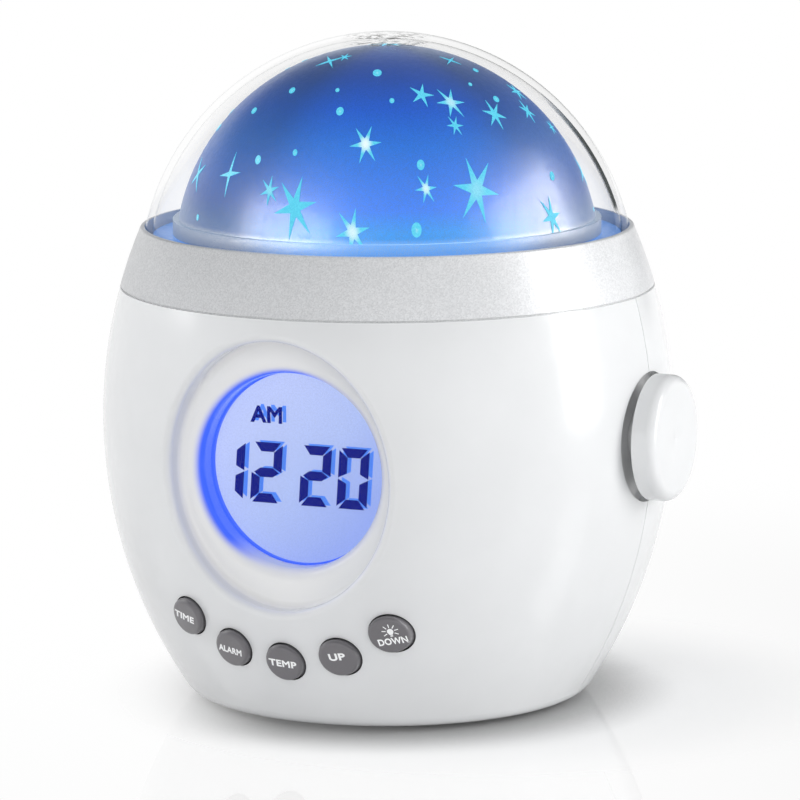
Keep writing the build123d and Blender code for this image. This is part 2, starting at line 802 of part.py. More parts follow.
# Quarter arc of a dome from its base up to the point on the axis
def dome_arc(centre, radius, base_height):
    tip = (0, centre + radius)
    base = (sqrt(radius**2 - (base_height - centre) ** 2), base_height)
    reach = radius / sqrt((base[0]) ** 2 + (base_height - centre + radius) ** 2)
    middle = (base[0] * reach, centre + (base_height - centre + radius) * reach)
    return ThreePointArc(base, middle, tip)


# Clear dome with the flange below the collar's lip
with BuildPart() as clear_dome:
    with BuildSketch(Plane.XZ):
        with BuildLine():
            clear_outside = dome_arc(clear_centre, clear_sphere_radius, collar_top_height)
            clear_inside = dome_arc(clear_centre, clear_inner_radius, clear_bore_top)
            Line(clear_outside @ 1, clear_inside @ 1)
            Polyline(
                clear_inside @ 0,
                (clear_bore_radius, clear_seat),
                (clear_flange_radius, clear_seat),
                (clear_flange_radius, clear_seat + clear_flange_thickness),
                (clear_base_radius, clear_seat + clear_flange_thickness),
                clear_outside @ 0,
            )
        make_face()
    revolve(axis=Axis.Z)
clear_dome.part.label = "clear_dome"
export_step(clear_dome.part, "parts/clear_dome.step")

# Star dome with its bead and the flange that rests on the lamp deck
with BuildPart() as star_dome:
    with BuildSketch(Plane.XZ):
        with BuildLine():
            star_outside = dome_arc(star_centre, star_sphere_radius, star_bead_top)
            star_inside = dome_arc(star_centre, star_sphere_radius - star_wall, star_seat)
            Line(star_outside @ 1, star_inside @ 1)
            Polyline(
                star_inside @ 0,
                (star_flange_radius, star_seat),
                (star_flange_radius, star_flange_top),
                (star_bead_radius, star_flange_top),
                (star_bead_radius, star_bead_top),
                star_outside @ 0,
            )
        make_face()
    revolve(axis=Axis.Z)
star_dome.part.label = "star_dome"
export_step(star_dome.part, "parts/star_dome.step")

# Lamp deck: a white tray on the neck that seats both domes
with BuildPart() as lamp_deck:
    with BuildSketch(Plane.XZ):
        with BuildLine():
            Polyline(
                (0, deck_low),
                (neck_bore_radius - slip_gap, deck_low),
                (neck_bore_radius - slip_gap, neck_top),
                (deck_rim_radius, neck_top),
                (deck_rim_radius, clear_seat),
                (star_flange_radius, clear_seat),
                (star_flange_radius, star_seat),
                (deck_seat_radius, star_seat),
                (deck_seat_radius - deck_slope_width, deck_top),
                (0, deck_top),
                close=True,
            )
        make_face()
    revolve(axis=Axis.Z)
    with BuildSketch(Plane.XY.offset(deck_low)):
        with Locations(*standoff_places):
            Circle(standoff_radius)
    extrude(amount=-standoff_height)
    with BuildSketch(Plane.XY.offset(led_board_top)):
        with Locations(*standoff_places):
            Circle(small_screw_radius + screw_gap)
    extrude(amount=deck_screw_length, mode=Mode.SUBTRACT)
    with BuildSketch(Plane.XY.offset(deck_low)):
        with Locations(*lamp_places):
            Circle(lamp_radius + slip_gap)
    extrude(amount=deck_floor_thickness, mode=Mode.SUBTRACT)
lamp_deck.part.label = "lamp_deck"
export_step(lamp_deck.part, "parts/lamp_deck.step")

# Round board that carries the lamps below the deck
with BuildPart() as led_board:
    with BuildSketch(Plane.XY.offset(led_board_top)):
        Circle(led_board_radius)
        with Locations(*standoff_places):
            Circle(small_screw_radius + slip_gap, mode=Mode.SUBTRACT)
    extrude(amount=-board_thickness)
led_board.part.label = "led_board"
export_step(led_board.part, "parts/led_board.step")

# Three round-topped lamps
with BuildPart() as led_lamps:
    with BuildSketch(Plane.XY.offset(led_board_top)):
        with Locations(*lamp_places):
            Circle(lamp_rim_radius)
    extrude(amount=lamp_rim_height)
    with BuildSketch(Plane.XY.offset(led_board_top)):
        with Locations(*lamp_places):
            Circle(lamp_radius)
    extrude(amount=lamp_height - lamp_radius)
    with Locations((0, 0, led_board_top + lamp_height - lamp_radius)):
        with Locations(*lamp_places):
            Sphere(lamp_radius)
led_lamps.part.label = "led_lamps"
export_step(led_lamps.part, "parts/led_lamps.step")

# Screws that hold the lamp board to the deck
with BuildPart() as deck_screws:
    with BuildSketch(Plane.XY.offset(led_board_top - board_thickness)):
        with Locations(*standoff_places):
            Circle(small_head_radius)
    extrude(amount=-small_head_height)
    with BuildSketch(Plane.XY.offset(led_board_top - board_thickness)):
        with Locations(*standoff_places):
            Circle(small_screw_radius)
    extrude(amount=board_thickness + deck_screw_length - slip_gap)
deck_screws.part.label = "deck_screws"
export_step(deck_screws.part, "parts/deck_screws.step")

# Clear window in the display tube
with BuildPart() as display_window:
    with BuildSketch(Plane.XZ.offset(lcd_frame_front)):
        with Locations((0, display_height)):
            Circle(display_radius - slip_gap)
    extrude(amount=window_thickness)
display_window.part.label = "display_window"
export_step(display_window.part, "parts/display_window.step")

# Display panel
with BuildPart() as lcd_panel:
    with BuildSketch(Plane.XZ.offset(lcd_back)):
        with Locations((0, display_height)):
            Rectangle(lcd_width, lcd_height)
    extrude(amount=lcd_thickness)
lcd_panel.part.label = "lcd_panel"
export_step(lcd_panel.part, "parts/lcd_panel.step")

# Light block behind the display panel
with BuildPart() as backlight:
    with BuildSketch(Plane.XZ.offset(board_front)):
        with Locations((0, display_height)):
            Rectangle(lcd_width, lcd_height)
    extrude(amount=backlight_thickness)
backlight.part.label = "backlight"
export_step(backlight.part, "parts/backlight.step")

# Frame round the panel and its light block
with BuildPart() as lcd_frame:
    with BuildSketch(Plane.XZ.offset(board_front)):
        with Locations((0, display_height)):
            Rectangle(lcd_frame_width, lcd_frame_height)
    extrude(amount=lcd_frame_front - board_front)
    with BuildSketch(Plane.XZ.offset(board_front)):
        with Locations((0, display_height)):
            Rectangle(lcd_width + 2 * slip_gap, lcd_height + 2 * slip_gap)
    extrude(amount=lcd_front + slip_gap - board_front, mode=Mode.SUBTRACT)
    with BuildSketch(Plane.XZ.offset(board_front)):
        with Locations((0, display_height)):
            Circle(lcd_view_radius)
    extrude(amount=lcd_frame_front - board_front, mode=Mode.SUBTRACT)
lcd_frame.part.label = "lcd_frame"
export_step(lcd_frame.part, "parts/lcd_frame.step")

# Main circuit board behind the display and the buttons
with BuildPart() as main_board:
    with BuildSketch(Plane.XZ.offset(board_back)):
        with Locations((0, (board_low + board_top) / 2)):
            RectangleRounded(board_width, board_top - board_low, board_corner_radius)
        with Locations(*board_screw_places):
            Circle(small_screw_radius + slip_gap, mode=Mode.SUBTRACT)
    extrude(amount=board_thickness)
main_board.part.label = "main_board"
export_step(main_board.part, "parts/main_board.step")

# Screws that hold the main board to the front shell
with BuildPart() as board_screws:
    with BuildSketch(Plane.XZ.offset(board_back)):
        with Locations(*board_screw_places):
            Circle(small_head_radius)
    extrude(amount=-small_head_height)
    with BuildSketch(Plane.XZ.offset(board_back)):
        with Locations(*board_screw_places):
            Circle(small_screw_radius)
    extrude(amount=board_thickness + small_screw_length - slip_gap)
board_screws.part.label = "board_screws"
export_step(board_screws.part, "parts/board_screws.step")

# Clock chip under its drop of resin, on the back of the main board
with BuildPart() as clock_chip:
    with BuildSketch(Plane.XZ.offset(board_back)):
        with Locations((0, display_height - chip_offset)):
            Rectangle(chip_width, chip_width)
    extrude(amount=-chip_thickness)
clock_chip.part.label = "clock_chip"
export_step(clock_chip.part, "parts/clock_chip.step")

# Temperature sensor on the back of the main board
with BuildPart() as temperature_sensor:
    with BuildSketch(Plane.XZ.offset(board_back)):
        with Locations((-sensor_side_offset, display_height + sensor_height_offset)):
            Rectangle(sensor_width, sensor_height)
    extrude(amount=-sensor_thickness)
temperature_sensor.part.label = "temperature_sensor"
export_step(temperature_sensor.part, "parts/temperature_sensor.step")

# Rubber keypad on the main board, with a collar round each button's stem
keypad_centres = [
    ((start[0] + end[0]) / 2, (start[1] + end[1]) / 2)
    for start, end in zip(button_places, button_places[1:])
]
with BuildPart() as rubber_keypad:
    with BuildSketch(Plane.XZ.offset(board_front)):
        with Locations(*button_places, *keypad_centres):
            Circle(keypad_collar_radius + keypad_margin)
    extrude(amount=keypad_web_thickness)
    with BuildSketch(Plane.XZ.offset(board_front)):
        with Locations(*button_places):
            Circle(keypad_collar_radius)
    extrude(amount=keypad_top - board_front)
    with BuildSketch(Plane.XZ.offset(board_front)):
        with Locations(*button_places):
            Circle(keypad_bore_radius)
    extrude(amount=keypad_top - board_front, mode=Mode.SUBTRACT)
rubber_keypad.part.label = "rubber_keypad"
export_step(rubber_keypad.part, "parts/rubber_keypad.step")

# Five buttons whose faces follow the egg, each with a flange behind its tube
for button_name, button_place in zip(button_names, button_places):
    with BuildPart() as button:
        with BuildSketch(Plane.XZ.offset(button_flange_back)):
            with Locations(button_place):
                Circle(button_radius)
        extrude(amount=body_radius)
        add(button_egg.part, mode=Mode.INTERSECT)
        fillet(button.edges().sort_by(Axis.Y)[0], button_edge_radius)
        with BuildSketch(Plane.XZ.offset(button_flange_back)):
            with Locations(button_place):
                Circle(button_flange_radius)
        extrude(amount=button_flange_thickness)
        with BuildSketch(Plane.XZ.offset(button_stem_end)):
            with Locations(button_place):
                Circle(button_stem_radius)
        extrude(amount=button_flange_back - button_stem_end)
    button.part.label = button_name + "_button"
    export_step(button.part, "parts/" + button_name + "_button.step")

# Control knob with a dished face, a hollow back and a stem through the housing
with BuildPart() as control_knob:
    with BuildSketch(knob_plane) as knob_section:
        with BuildLine():
            Polyline(
                (knob_front, knob_dish_radius),
                (knob_front, knob_radius),
                (knob_back, knob_radius),
                (knob_back, knob_radius - knob_back_wall),
                (knob_back + knob_back_depth, knob_radius - knob_back_wall),
                (knob_back + knob_back_depth, knob_stem_radius),
                (knob_stem_end, knob_stem_radius),
                (knob_stem_end, 0),
                (knob_front - knob_dish_depth, 0),
            )
            dish_sphere = (knob_dish_radius**2 + knob_dish_depth**2) / (2 * knob_dish_depth)
            RadiusArc(
                (knob_front - knob_dish_depth, 0),
                (knob_front, knob_dish_radius),
                -dish_sphere,
            )
        make_face()
        knob_corner = knob_section.vertices().sort_by_distance((knob_front, knob_radius))[0]
        fillet(knob_corner, knob_edge_radius)
    revolve(axis=knob_axis)
    with BuildSketch(Plane.YZ.offset(knob_stem_end)):
        with Locations((0, knob_height)):
            Circle(shaft_radius + slip_gap)
        with Locations((0, knob_height + shaft_flat_offset + slip_gap)):
            Rectangle(
                2 * knob_stem_radius,
                knob_stem_radius,
                align=(Align.CENTER, Align.MIN),
                mode=Mode.SUBTRACT,
            )
    extrude(amount=shaft_grip_length + slip_gap, mode=Mode.SUBTRACT)
control_knob.part.label = "control_knob"
export_step(control_knob.part, "parts/control_knob.step")

# Dimmer shaft: round in its bushing, with a flat where the knob grips it
with BuildPart() as dimmer_shaft:
    with BuildSketch(Plane.YZ.offset(shaft_start)):
        with Locations((0, knob_height)):
            Circle(shaft_radius)
    extrude(amount=shaft_end - shaft_start)
    with BuildSketch(Plane.YZ.offset(knob_stem_end)):
        with Locations((0, knob_height + shaft_flat_offset)):
            Rectangle(2 * knob_stem_radius, knob_stem_radius, align=(Align.CENTER, Align.MIN))
    extrude(amount=shaft_grip_length + cut_overrun, mode=Mode.SUBTRACT)
dimmer_shaft.part.label = "dimmer_shaft"
export_step(dimmer_shaft.part, "parts/dimmer_shaft.step")

# Round dimmer can with the bushing of the shaft
with BuildPart() as dimmer_can:
    with BuildSketch(Plane.YZ.offset(can_back)):
        with Locations((0, knob_height)):
            Circle(can_radius)
    extrude(amount=can_depth)
    with BuildSketch(Plane.YZ.offset(can_front)):
        with Locations((0, knob_height)):
            Circle(bushing_radius)
    extrude(amount=bushing_length)
    with BuildSketch(Plane.YZ.offset(shaft_start - run_gap)):
        with Locations((0, knob_height)):
            Circle(shaft_radius + shaft_gap)
    extrude(amount=shaft_can_length + bushing_length + cut_overrun, mode=Mode.SUBTRACT)
dimmer_can.part.label = "dimmer_can"
export_step(dimmer_can.part, "parts/dimmer_can.step")

# Small board of the dimmer, held between the slot ribs of the rear shell
with BuildPart() as dimmer_board:
    with BuildSketch(Plane.YZ.offset(dimmer_board_back)):
        with Locations((0, knob_height)):
            Rectangle(dimmer_board_width, dimmer_board_height)
    extrude(amount=board_thickness)
dimmer_board.part.label = "dimmer_board"
export_step(dimmer_board.part, "parts/dimmer_board.step")

# Speaker basket with its magnet
with BuildPart() as speaker_basket:
    with BuildSketch(speaker_plane):
        with BuildLine():
            Polyline(
                (speaker_radius, speaker_front),
                (speaker_radius, speaker_front - speaker_rim_thickness),
                (speaker_base_radius, speaker_back),
                (magnet_radius, speaker_back),
                (magnet_radius, speaker_back - magnet_depth),
                (0, speaker_back - magnet_depth),
                (0, speaker_back + speaker_skin_thickness),
                (speaker_base_radius - speaker_skin_thickness, speaker_back + speaker_skin_thickness),
                (cone_radius, speaker_front),
                close=True,
            )
        make_face()
    revolve(axis=speaker_axis)
speaker_basket.part.label = "speaker_basket"
export_step(speaker_basket.part, "parts/speaker_basket.step")

# Paper cone of the speaker
with BuildPart() as speaker_cone:
    with BuildSketch(speaker_plane):
        with BuildLine():
            Polyline(
                (cone_radius - slip_gap - cone_skin_thickness, speaker_front),
                (cone_cap_radius, speaker_front - cone_depth),
                (0, speaker_front - cone_depth + cone_skin_thickness),
                (0, speaker_front - cone_depth - cone_skin_thickness),
                (cone_cap_radius, speaker_front - cone_depth - cone_skin_thickness),
                (cone_radius - slip_gap, speaker_front - slip_gap),
                (cone_radius - slip_gap, speaker_front),
                close=True,
            )
        make_face()
    revolve(axis=speaker_axis)
speaker_cone.part.label = "speaker_cone"
export_step(speaker_cone.part, "parts/speaker_cone.step")

# Four long screws that pull the two shells together
with BuildPart() as housing_screws:
    with BuildSketch(Plane.XZ.offset(-well_floor_depth)):
        with Locations(*housing_screw_places):
            Circle(screw_head_radius)
    extrude(amount=-screw_head_height)
    with BuildSketch(Plane.XZ.offset(-well_floor_depth)):
        with Locations(*housing_screw_places):
            Circle(screw_radius)
    extrude(amount=well_floor_depth + screw_length)
housing_screws.part.label = "housing_screws"
export_step(housing_screws.part, "parts/housing_screws.step")
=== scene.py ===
# %% [markdown]
# # A star night light, dressed in Blender
# The object is an egg-shaped clock lamp: a white two-half housing with a lit round display and five
# buttons, a silver collar, and on top a blue star dome under a clear cover. The CAD model is loaded as
# a fixed frame. Its solids already have the true shapes, so this lesson adds what CAD leaves out: the
# finishes, the star windows, the display's segments, the words on the buttons and the screw heads.

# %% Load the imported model
import math

import bmesh
import bpy
import numpy as np
from mathutils import Matrix, Quaternion, Vector
from mathutils.bvhtree import BVHTree


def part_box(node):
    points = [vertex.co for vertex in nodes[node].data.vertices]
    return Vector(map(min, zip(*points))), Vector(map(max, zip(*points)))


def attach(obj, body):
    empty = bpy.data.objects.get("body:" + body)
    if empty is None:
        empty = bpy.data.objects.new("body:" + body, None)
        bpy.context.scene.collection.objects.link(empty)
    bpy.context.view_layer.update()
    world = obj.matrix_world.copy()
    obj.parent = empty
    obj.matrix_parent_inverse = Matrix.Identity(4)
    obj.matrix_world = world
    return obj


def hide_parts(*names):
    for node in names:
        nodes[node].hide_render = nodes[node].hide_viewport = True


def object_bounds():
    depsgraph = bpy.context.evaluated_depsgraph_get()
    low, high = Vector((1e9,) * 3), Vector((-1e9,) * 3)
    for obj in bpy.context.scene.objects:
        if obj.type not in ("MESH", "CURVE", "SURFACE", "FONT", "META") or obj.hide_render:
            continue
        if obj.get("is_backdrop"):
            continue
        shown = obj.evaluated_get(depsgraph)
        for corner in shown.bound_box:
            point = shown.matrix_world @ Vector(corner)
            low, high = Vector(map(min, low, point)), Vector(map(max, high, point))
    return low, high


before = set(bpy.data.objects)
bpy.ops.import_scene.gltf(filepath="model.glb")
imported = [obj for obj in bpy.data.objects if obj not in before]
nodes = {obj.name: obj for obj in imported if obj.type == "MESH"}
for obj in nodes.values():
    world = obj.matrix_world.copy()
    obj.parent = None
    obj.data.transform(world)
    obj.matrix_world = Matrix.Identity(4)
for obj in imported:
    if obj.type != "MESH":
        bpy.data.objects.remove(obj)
cad_low, cad_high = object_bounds()
MM = 0.001
print("nodes", len(nodes), "box in mm", [round(x / MM, 1) for x in (*cad_low, *cad_high)])

# %% [markdown]
# ## Camera
# The photograph looks at the lamp from its right, 24 degrees round from the front, and a little from
# above. A long lens keeps the sides of the egg nearly parallel, as they are there. The small shift moves
# the picture sideways without turning the camera, and the camera is rolled by a fraction of a degree.

# %% Camera
CAMERA_TURN = math.radians(24.6)
CAMERA_AWAY = 1.0
CAMERA_HEIGHT = 0.22395
AIM_HEIGHT = 0.05695
CAMERA_ROLL = math.radians(-0.3)
camera_data = bpy.data.cameras.new("camera")
camera_data.sensor_width = 36.0
camera_data.lens = 236.07
camera_data.shift_x = 0.015
camera = bpy.data.objects.new("camera", camera_data)
bpy.context.scene.collection.objects.link(camera)
camera.location = (
    CAMERA_AWAY * math.sin(CAMERA_TURN), -CAMERA_AWAY * math.cos(CAMERA_TURN), CAMERA_HEIGHT
)
look = Vector((0, 0, AIM_HEIGHT)) - camera.location
camera.rotation_mode = "QUATERNION"
camera.rotation_quaternion = look.to_track_quat("-Z", "Y") @ Quaternion((0, 0, 1), CAMERA_ROLL)
bpy.context.scene.camera = camera
bpy.context.scene.view_settings.view_transform = "Standard"
screen_right = camera.rotation_quaternion @ Vector((1, 0, 0))
print("camera", [round(x, 3) for x in camera.location])

# %% [markdown]
# ## Helpers for finishes
# Every finish starts from Blender's Principled shader. These short helpers add a node and set its
# sockets, so that each finish below reads as a list of what it is made of. Patterns are placed by Object
# coordinates, which are the object's own metres, because they stay put on the piece from any side.

# %% Node helpers


class Nodes:
    """Short ways to add nodes to a tree and to feed their sockets."""

    def add(self, kind, inputs=None, **settings):
        node = self.tree.nodes.new(kind)
        for key, value in settings.items():
            setattr(node, key, value)
        for key, value in (inputs or {}).items():
            self.feed(node.inputs[key], value)
        return node

    def feed(self, socket, value):
        if isinstance(value, bpy.types.NodeSocket):
            self.tree.links.new(value, socket)
        else:
            socket.default_value = value

    def maths(self, operation, *values):
        return self.add("ShaderNodeMath", dict(enumerate(values)), operation=operation).outputs[0]

    def times(self, product, *others):
        for other in others:
            product = self.maths("MULTIPLY", product, other)
        return product

    def vector_maths(self, operation, *values):
        node = self.add("ShaderNodeVectorMath", dict(enumerate(values)), operation=operation)
        return node.outputs["Value" if operation in ("LENGTH", "DOT_PRODUCT") else "Vector"]


# %% Shader helpers


class Wiring(Nodes):
    """A shader tree, with the patterns and masks that the finishes use."""

    def __init__(self, tree, place):
        self.tree = tree
        self.place = self.add("ShaderNodeTexCoord").outputs[place]

    def noise(self, scale, detail=3.0, rough=0.5):
        inputs = {"Vector": self.place, "Scale": scale, "Detail": detail, "Roughness": rough}
        return self.add("ShaderNodeTexNoise", inputs).outputs["Fac"]

    def cells(self, scale, output="Color"):
        inputs = {"Vector": self.place, "Scale": scale}
        return self.add("ShaderNodeTexVoronoi", inputs).outputs[output]

    def ramp(self, value, *stops):
        node = self.add("ShaderNodeValToRGB", {"Fac": value})
        points = node.color_ramp.elements
        while len(points) < len(stops):
            points.new(0.5)
        for point, (at, colour) in zip(points, stops):
            point.position = at
            point.color = (*colour, 1) if isinstance(colour, tuple) else (colour, colour, colour, 1)
        return node.outputs["Color"]

    def span(self, value, low, high, start=0.0, end=1.0, smooth=True):
        inputs = {"Value": value, "From Min": low, "From Max": high, "To Min": start, "To Max": end}
        kind = "SMOOTHSTEP" if smooth else "LINEAR"
        return self.add("ShaderNodeMapRange", inputs, interpolation_type=kind).outputs["Result"]

    def mix(self, share, first, second, how="MIX"):
        inputs = {0: share, 6: first, 7: second}
        return self.add("ShaderNodeMix", inputs, data_type="RGBA", blend_type=how).outputs[2]

    def split(self, vector=None):
        node = self.add("ShaderNodeSeparateXYZ", {"Vector": vector or self.place})
        return node.outputs["X"], node.outputs["Y"], node.outputs["Z"]

    def away(self, centre, flat=(1, 1, 1)):
        """Distance from a point, with the axes whose share is 0 left out."""
        moved = self.vector_maths("SUBTRACT", self.place, centre)
        return self.vector_maths("LENGTH", self.vector_maths("MULTIPLY", moved, flat))

    def bump(self, height, strength, distance):
        inputs = {"Height": height, "Strength": strength, "Distance": distance}
        return self.add("ShaderNodeBump", inputs).outputs["Normal"]

    def blend(self, share, first, second):
        return self.add("ShaderNodeMixShader", {0: share, 1: first.outputs[0], 2: second.outputs[0]})


# %% A finish


class Finish(Wiring):
    """A material with its Principled shader."""

    def __init__(self, name):
        self.material = bpy.data.materials.new(name)
        self.material.use_nodes = True
        super().__init__(self.material.node_tree, "Object")
        self.shader = self.tree.nodes["Principled BSDF"]
        self.output = self.tree.nodes["Material Output"]

    def socket(self, key):
        return self.shader.inputs[key.replace("_", " ").title().replace("Ior", "IOR")]

    def set(self, **inputs):
        for key, value in inputs.items():
            self.feed(self.socket(key), value)

    def linked(self, key):
        """What already feeds a socket of the shader."""
        return self.socket(key).links[0].from_socket


# %% Plastic, metal and paint


def moulded(name, dark, light, rough, coat=0.0, tone_scale=70.0, peel=0.02, peel_scale=1400.0):
    """Moulded plastic: a slight drift of tone, a drift of gloss and the fine peel of the tool."""
    finish = Finish(name)
    tone = finish.noise(tone_scale)
    finish.set(
        base_color=finish.ramp(tone, (0.3, dark), (0.7, light)),
        roughness=finish.span(finish.noise(tone_scale * 6), 0.3, 0.7, rough * 0.85, rough * 1.15),
        normal=finish.bump(finish.noise(peel_scale, 2.0), peel, 0.2 * MM),
        coat_weight=coat,
        coat_roughness=0.16,
    )
    return finish


def metal(name, dark, light, rough, scale=900.0, peel=0.06):
    """Plated or turned metal: fine tone and gloss drift under a full metallic shader."""
    finish = Finish(name)
    grain = finish.noise(scale, 4.0)
    finish.set(
        base_color=finish.ramp(grain, (0.3, dark), (0.7, light)),
        roughness=finish.span(grain, 0.3, 0.7, rough * 0.8, rough * 1.25),
        normal=finish.bump(finish.noise(scale * 3, 2.0), peel, 0.05 * MM),
        metallic=1.0,
    )
    return finish


def paint(finish, *names):
    """Gives a finish to CAD nodes, by their material slots."""
    for name in names:
        materials = nodes[name].data.materials
        materials.clear()
        materials.append(finish.material)
    print(finish.material.name, "on", ", ".join(names))


# %% [markdown]
# ## White housing
# The two shells and the knob are glossy white plastic; the base, the battery door and the lamp deck are
# matt. It is not one flat white: the tone drifts a little with the flow of the melt, and the surface has
# a very fine peel. The blue light that leaks round the panel onto the wall of the display's well is painted
# into the front shell's finish as a glow over a darker blue base, strongest deep in the well and dying out
# over the rounded lip. The floor of the dish is a painted lighter white, mostly on its left, which stands
# in for the light that falls more fully on the real, flatter dish.

# %% White housing
WHITE_DARK, WHITE_LIGHT = (0.775, 0.78, 0.785), (0.80, 0.805, 0.81)
DISH_PAINTED_WHITE = (0.885, 0.88, 0.87, 1)
PAINTED_GLOW_BLUE, PAINTED_GLOW_SHADE = (0.045, 0.13, 0.90, 1), (0.02, 0.04, 0.25, 1)
PAINTED_GLOW_STRENGTH = 0.85
DISPLAY_HEIGHT = 50.15 * MM
WELL_RADIUS, DISH_RADIUS = 18.4 * MM, 26.0 * MM
DISH_FORWARD, PANEL_FORWARD = 45.123 * MM, 38.423 * MM
white_gloss = moulded("white_gloss", WHITE_DARK, WHITE_LIGHT, 0.2, coat=0.3)
front_white = moulded("white_gloss_front", WHITE_DARK, WHITE_LIGHT, 0.2, coat=0.3)
right, back, up = front_white.split()
forward = front_white.times(back, -1.0)
display_reach = front_white.away((0, 0, DISPLAY_HEIGHT), (1, 0, 1))
# Painted light: the display's blue spill on the well wall, as emission over a darker blue base.
painted_well_glow = front_white.times(
    front_white.span(display_reach, WELL_RADIUS + 2.6 * MM, WELL_RADIUS + 1.2 * MM),
    front_white.span(forward, DISH_FORWARD - 0.1 * MM, DISH_FORWARD - 1.4 * MM),
    front_white.span(right, 12 * MM, 0.0),
    front_white.span(up, DISPLAY_HEIGHT - 19 * MM, DISPLAY_HEIGHT - 13 * MM),
)
# Painted light: the dish floor is a lighter white, mostly on its left, for light the real, flatter dish
# gets.
painted_dish_light = front_white.times(
    front_white.span(forward, DISH_FORWARD + 2.2 * MM, DISH_FORWARD + 0.4 * MM),
    front_white.span(right, 16 * MM, -2 * MM),
    front_white.maths("LESS_THAN", display_reach, DISH_RADIUS),
)
white_with_painted_dish = front_white.mix(painted_dish_light, front_white.linked("base_color"), DISH_PAINTED_WHITE)
front_white.set(
    base_color=front_white.mix(painted_well_glow, white_with_painted_dish, PAINTED_GLOW_SHADE),
    emission_color=PAINTED_GLOW_BLUE,
    emission_strength=front_white.times(painted_well_glow, PAINTED_GLOW_STRENGTH),
)
white_matte = moulded(
    "white_matte", (0.70, 0.705, 0.71), (0.74, 0.745, 0.75), 0.5, peel=0.08, peel_scale=900.0
)
paint(front_white, "front_shell")
paint(white_gloss, "rear_shell", "control_knob")
paint(white_matte, "base_plate", "battery_door", "lamp_deck")

# %% [markdown]
# ## Silver collar
# The collar is plastic with silver paint: fine metal flakes in a clear lacquer. Tiny cells stand for the
# flakes. Each has its own tone and tips the surface a little, which gives the paint its sparkle.

# %% Silver collar
silver = Finish("silver_paint")
flakes = silver.cells(4200.0)
flake_tone = silver.ramp(flakes, (0.0, (0.665, 0.67, 0.68)), (1.0, (0.87, 0.875, 0.885)))
silver.set(
    base_color=flake_tone,
    metallic=0.15,
    roughness=silver.span(silver.noise(500.0), 0.3, 0.7, 0.34, 0.44),
    normal=silver.bump(flakes, 0.10, 0.06 * MM),
    coat_weight=0.25,
    coat_roughness=0.2,
)
paint(silver, "collar_ring")

# %% [markdown]
# ## Clear plastic
# The cover and the display's window are clear acrylic with thin walls, which bend the view so little that
# it can be left out. What is seen of such a wall is its gloss, which is weak face on and grows towards
# grazing sight, and a thin grey line at the very edge, where the way through the plastic is long. On its
# right the real wall bends a dark line into view; here that line is a painted dark reflection on the inner
# face, on the right side only. At the pole of the cover the real moulding is crinkled where the melt
# entered, which shows in a small circle.

# %% Clear plastic
EDGE_GREY, EDGE_GLOSS = (0.72, 0.75, 0.74, 1), 0.55
CLEAR_ROUGH, COVER_GLOSS, WINDOW_GLOSS = 0.02, 0.035, 0.006


def clear(name, face_gloss):
    """Thin clear plastic, seen by its gloss alone; gives that gloss and the slant of sight as well."""
    finish = Finish(name)
    slant = finish.add("ShaderNodeLayerWeight", {"Blend": 0.5}).outputs["Facing"]
    edge = finish.span(slant, 0.86, 0.96)
    grazing = finish.maths("POWER", slant, 5.0)
    gloss = finish.span(grazing, 0.0, 1.0, face_gloss, 8 * face_gloss, smooth=False)
    gloss = finish.maths("ADD", gloss, finish.times(edge, EDGE_GLOSS))
    finish.set(
        base_color=finish.mix(edge, (1, 1, 1, 1), EDGE_GREY),
        metallic=1.0,
        roughness=finish.span(finish.noise(300.0), 0.3, 0.7, CLEAR_ROUGH * 0.5, CLEAR_ROUGH * 1.5),
        alpha=gloss,
    )
    return finish, gloss, slant


# %% Cover and window
CRINKLE_RADIUS = 9.5 * MM
COVER_INSIDE, COVER_CENTRE = 46.336 * MM, 80.615 * MM
LINE_SHADE = (0.12, 0.135, 0.128, 1)
clear_cover, cover_gloss, slant = clear("clear_plastic", COVER_GLOSS)
wall_reach = clear_cover.away((0, 0, COVER_CENTRE))
rightward = clear_cover.vector_maths("DOT_PRODUCT", clear_cover.place, screen_right)
# Painted reflection: a dark line on the inner face, on the right side only, for dark surroundings.
painted_dark_line = clear_cover.times(
    clear_cover.span(slant, 0.78, 0.86),
    clear_cover.span(wall_reach, COVER_INSIDE + 0.5 * MM, COVER_INSIDE + 0.2 * MM),
    clear_cover.span(rightward, 26 * MM, 38 * MM),
    clear_cover.span(clear_cover.split()[2], 93.5 * MM, 95.5 * MM),
)
pole_reach = clear_cover.away((0, 0, 0), (1, 1, 0))
near_pole = clear_cover.span(pole_reach, CRINKLE_RADIUS, CRINKLE_RADIUS - 2 * MM)
crinkle = clear_cover.times(clear_cover.noise(650.0, 2.0), near_pole)
frosted = clear_cover.span(crinkle, 0.42, 0.56, 0.0, 0.75)
painted_line_and_frost_grey = clear_cover.maths("MAXIMUM", painted_dark_line, clear_cover.times(frosted, 0.2))
clear_cover.set(
    base_color=clear_cover.mix(painted_line_and_frost_grey, clear_cover.linked("base_color"), LINE_SHADE),
    metallic=clear_cover.maths("SUBTRACT", 1.0, painted_dark_line),
    roughness=clear_cover.maths("MAXIMUM", clear_cover.linked("roughness"), painted_dark_line),
    normal=clear_cover.bump(crinkle, 0.5, 0.5 * MM),
    alpha=clear_cover.maths("MAXIMUM", clear_cover.maths("MAXIMUM", cover_gloss, frosted), painted_dark_line),
)
window_clear = clear("display_window_clear", WINDOW_GLOSS)[0]
paint(clear_cover, "clear_dome")
paint(window_clear, "display_window")
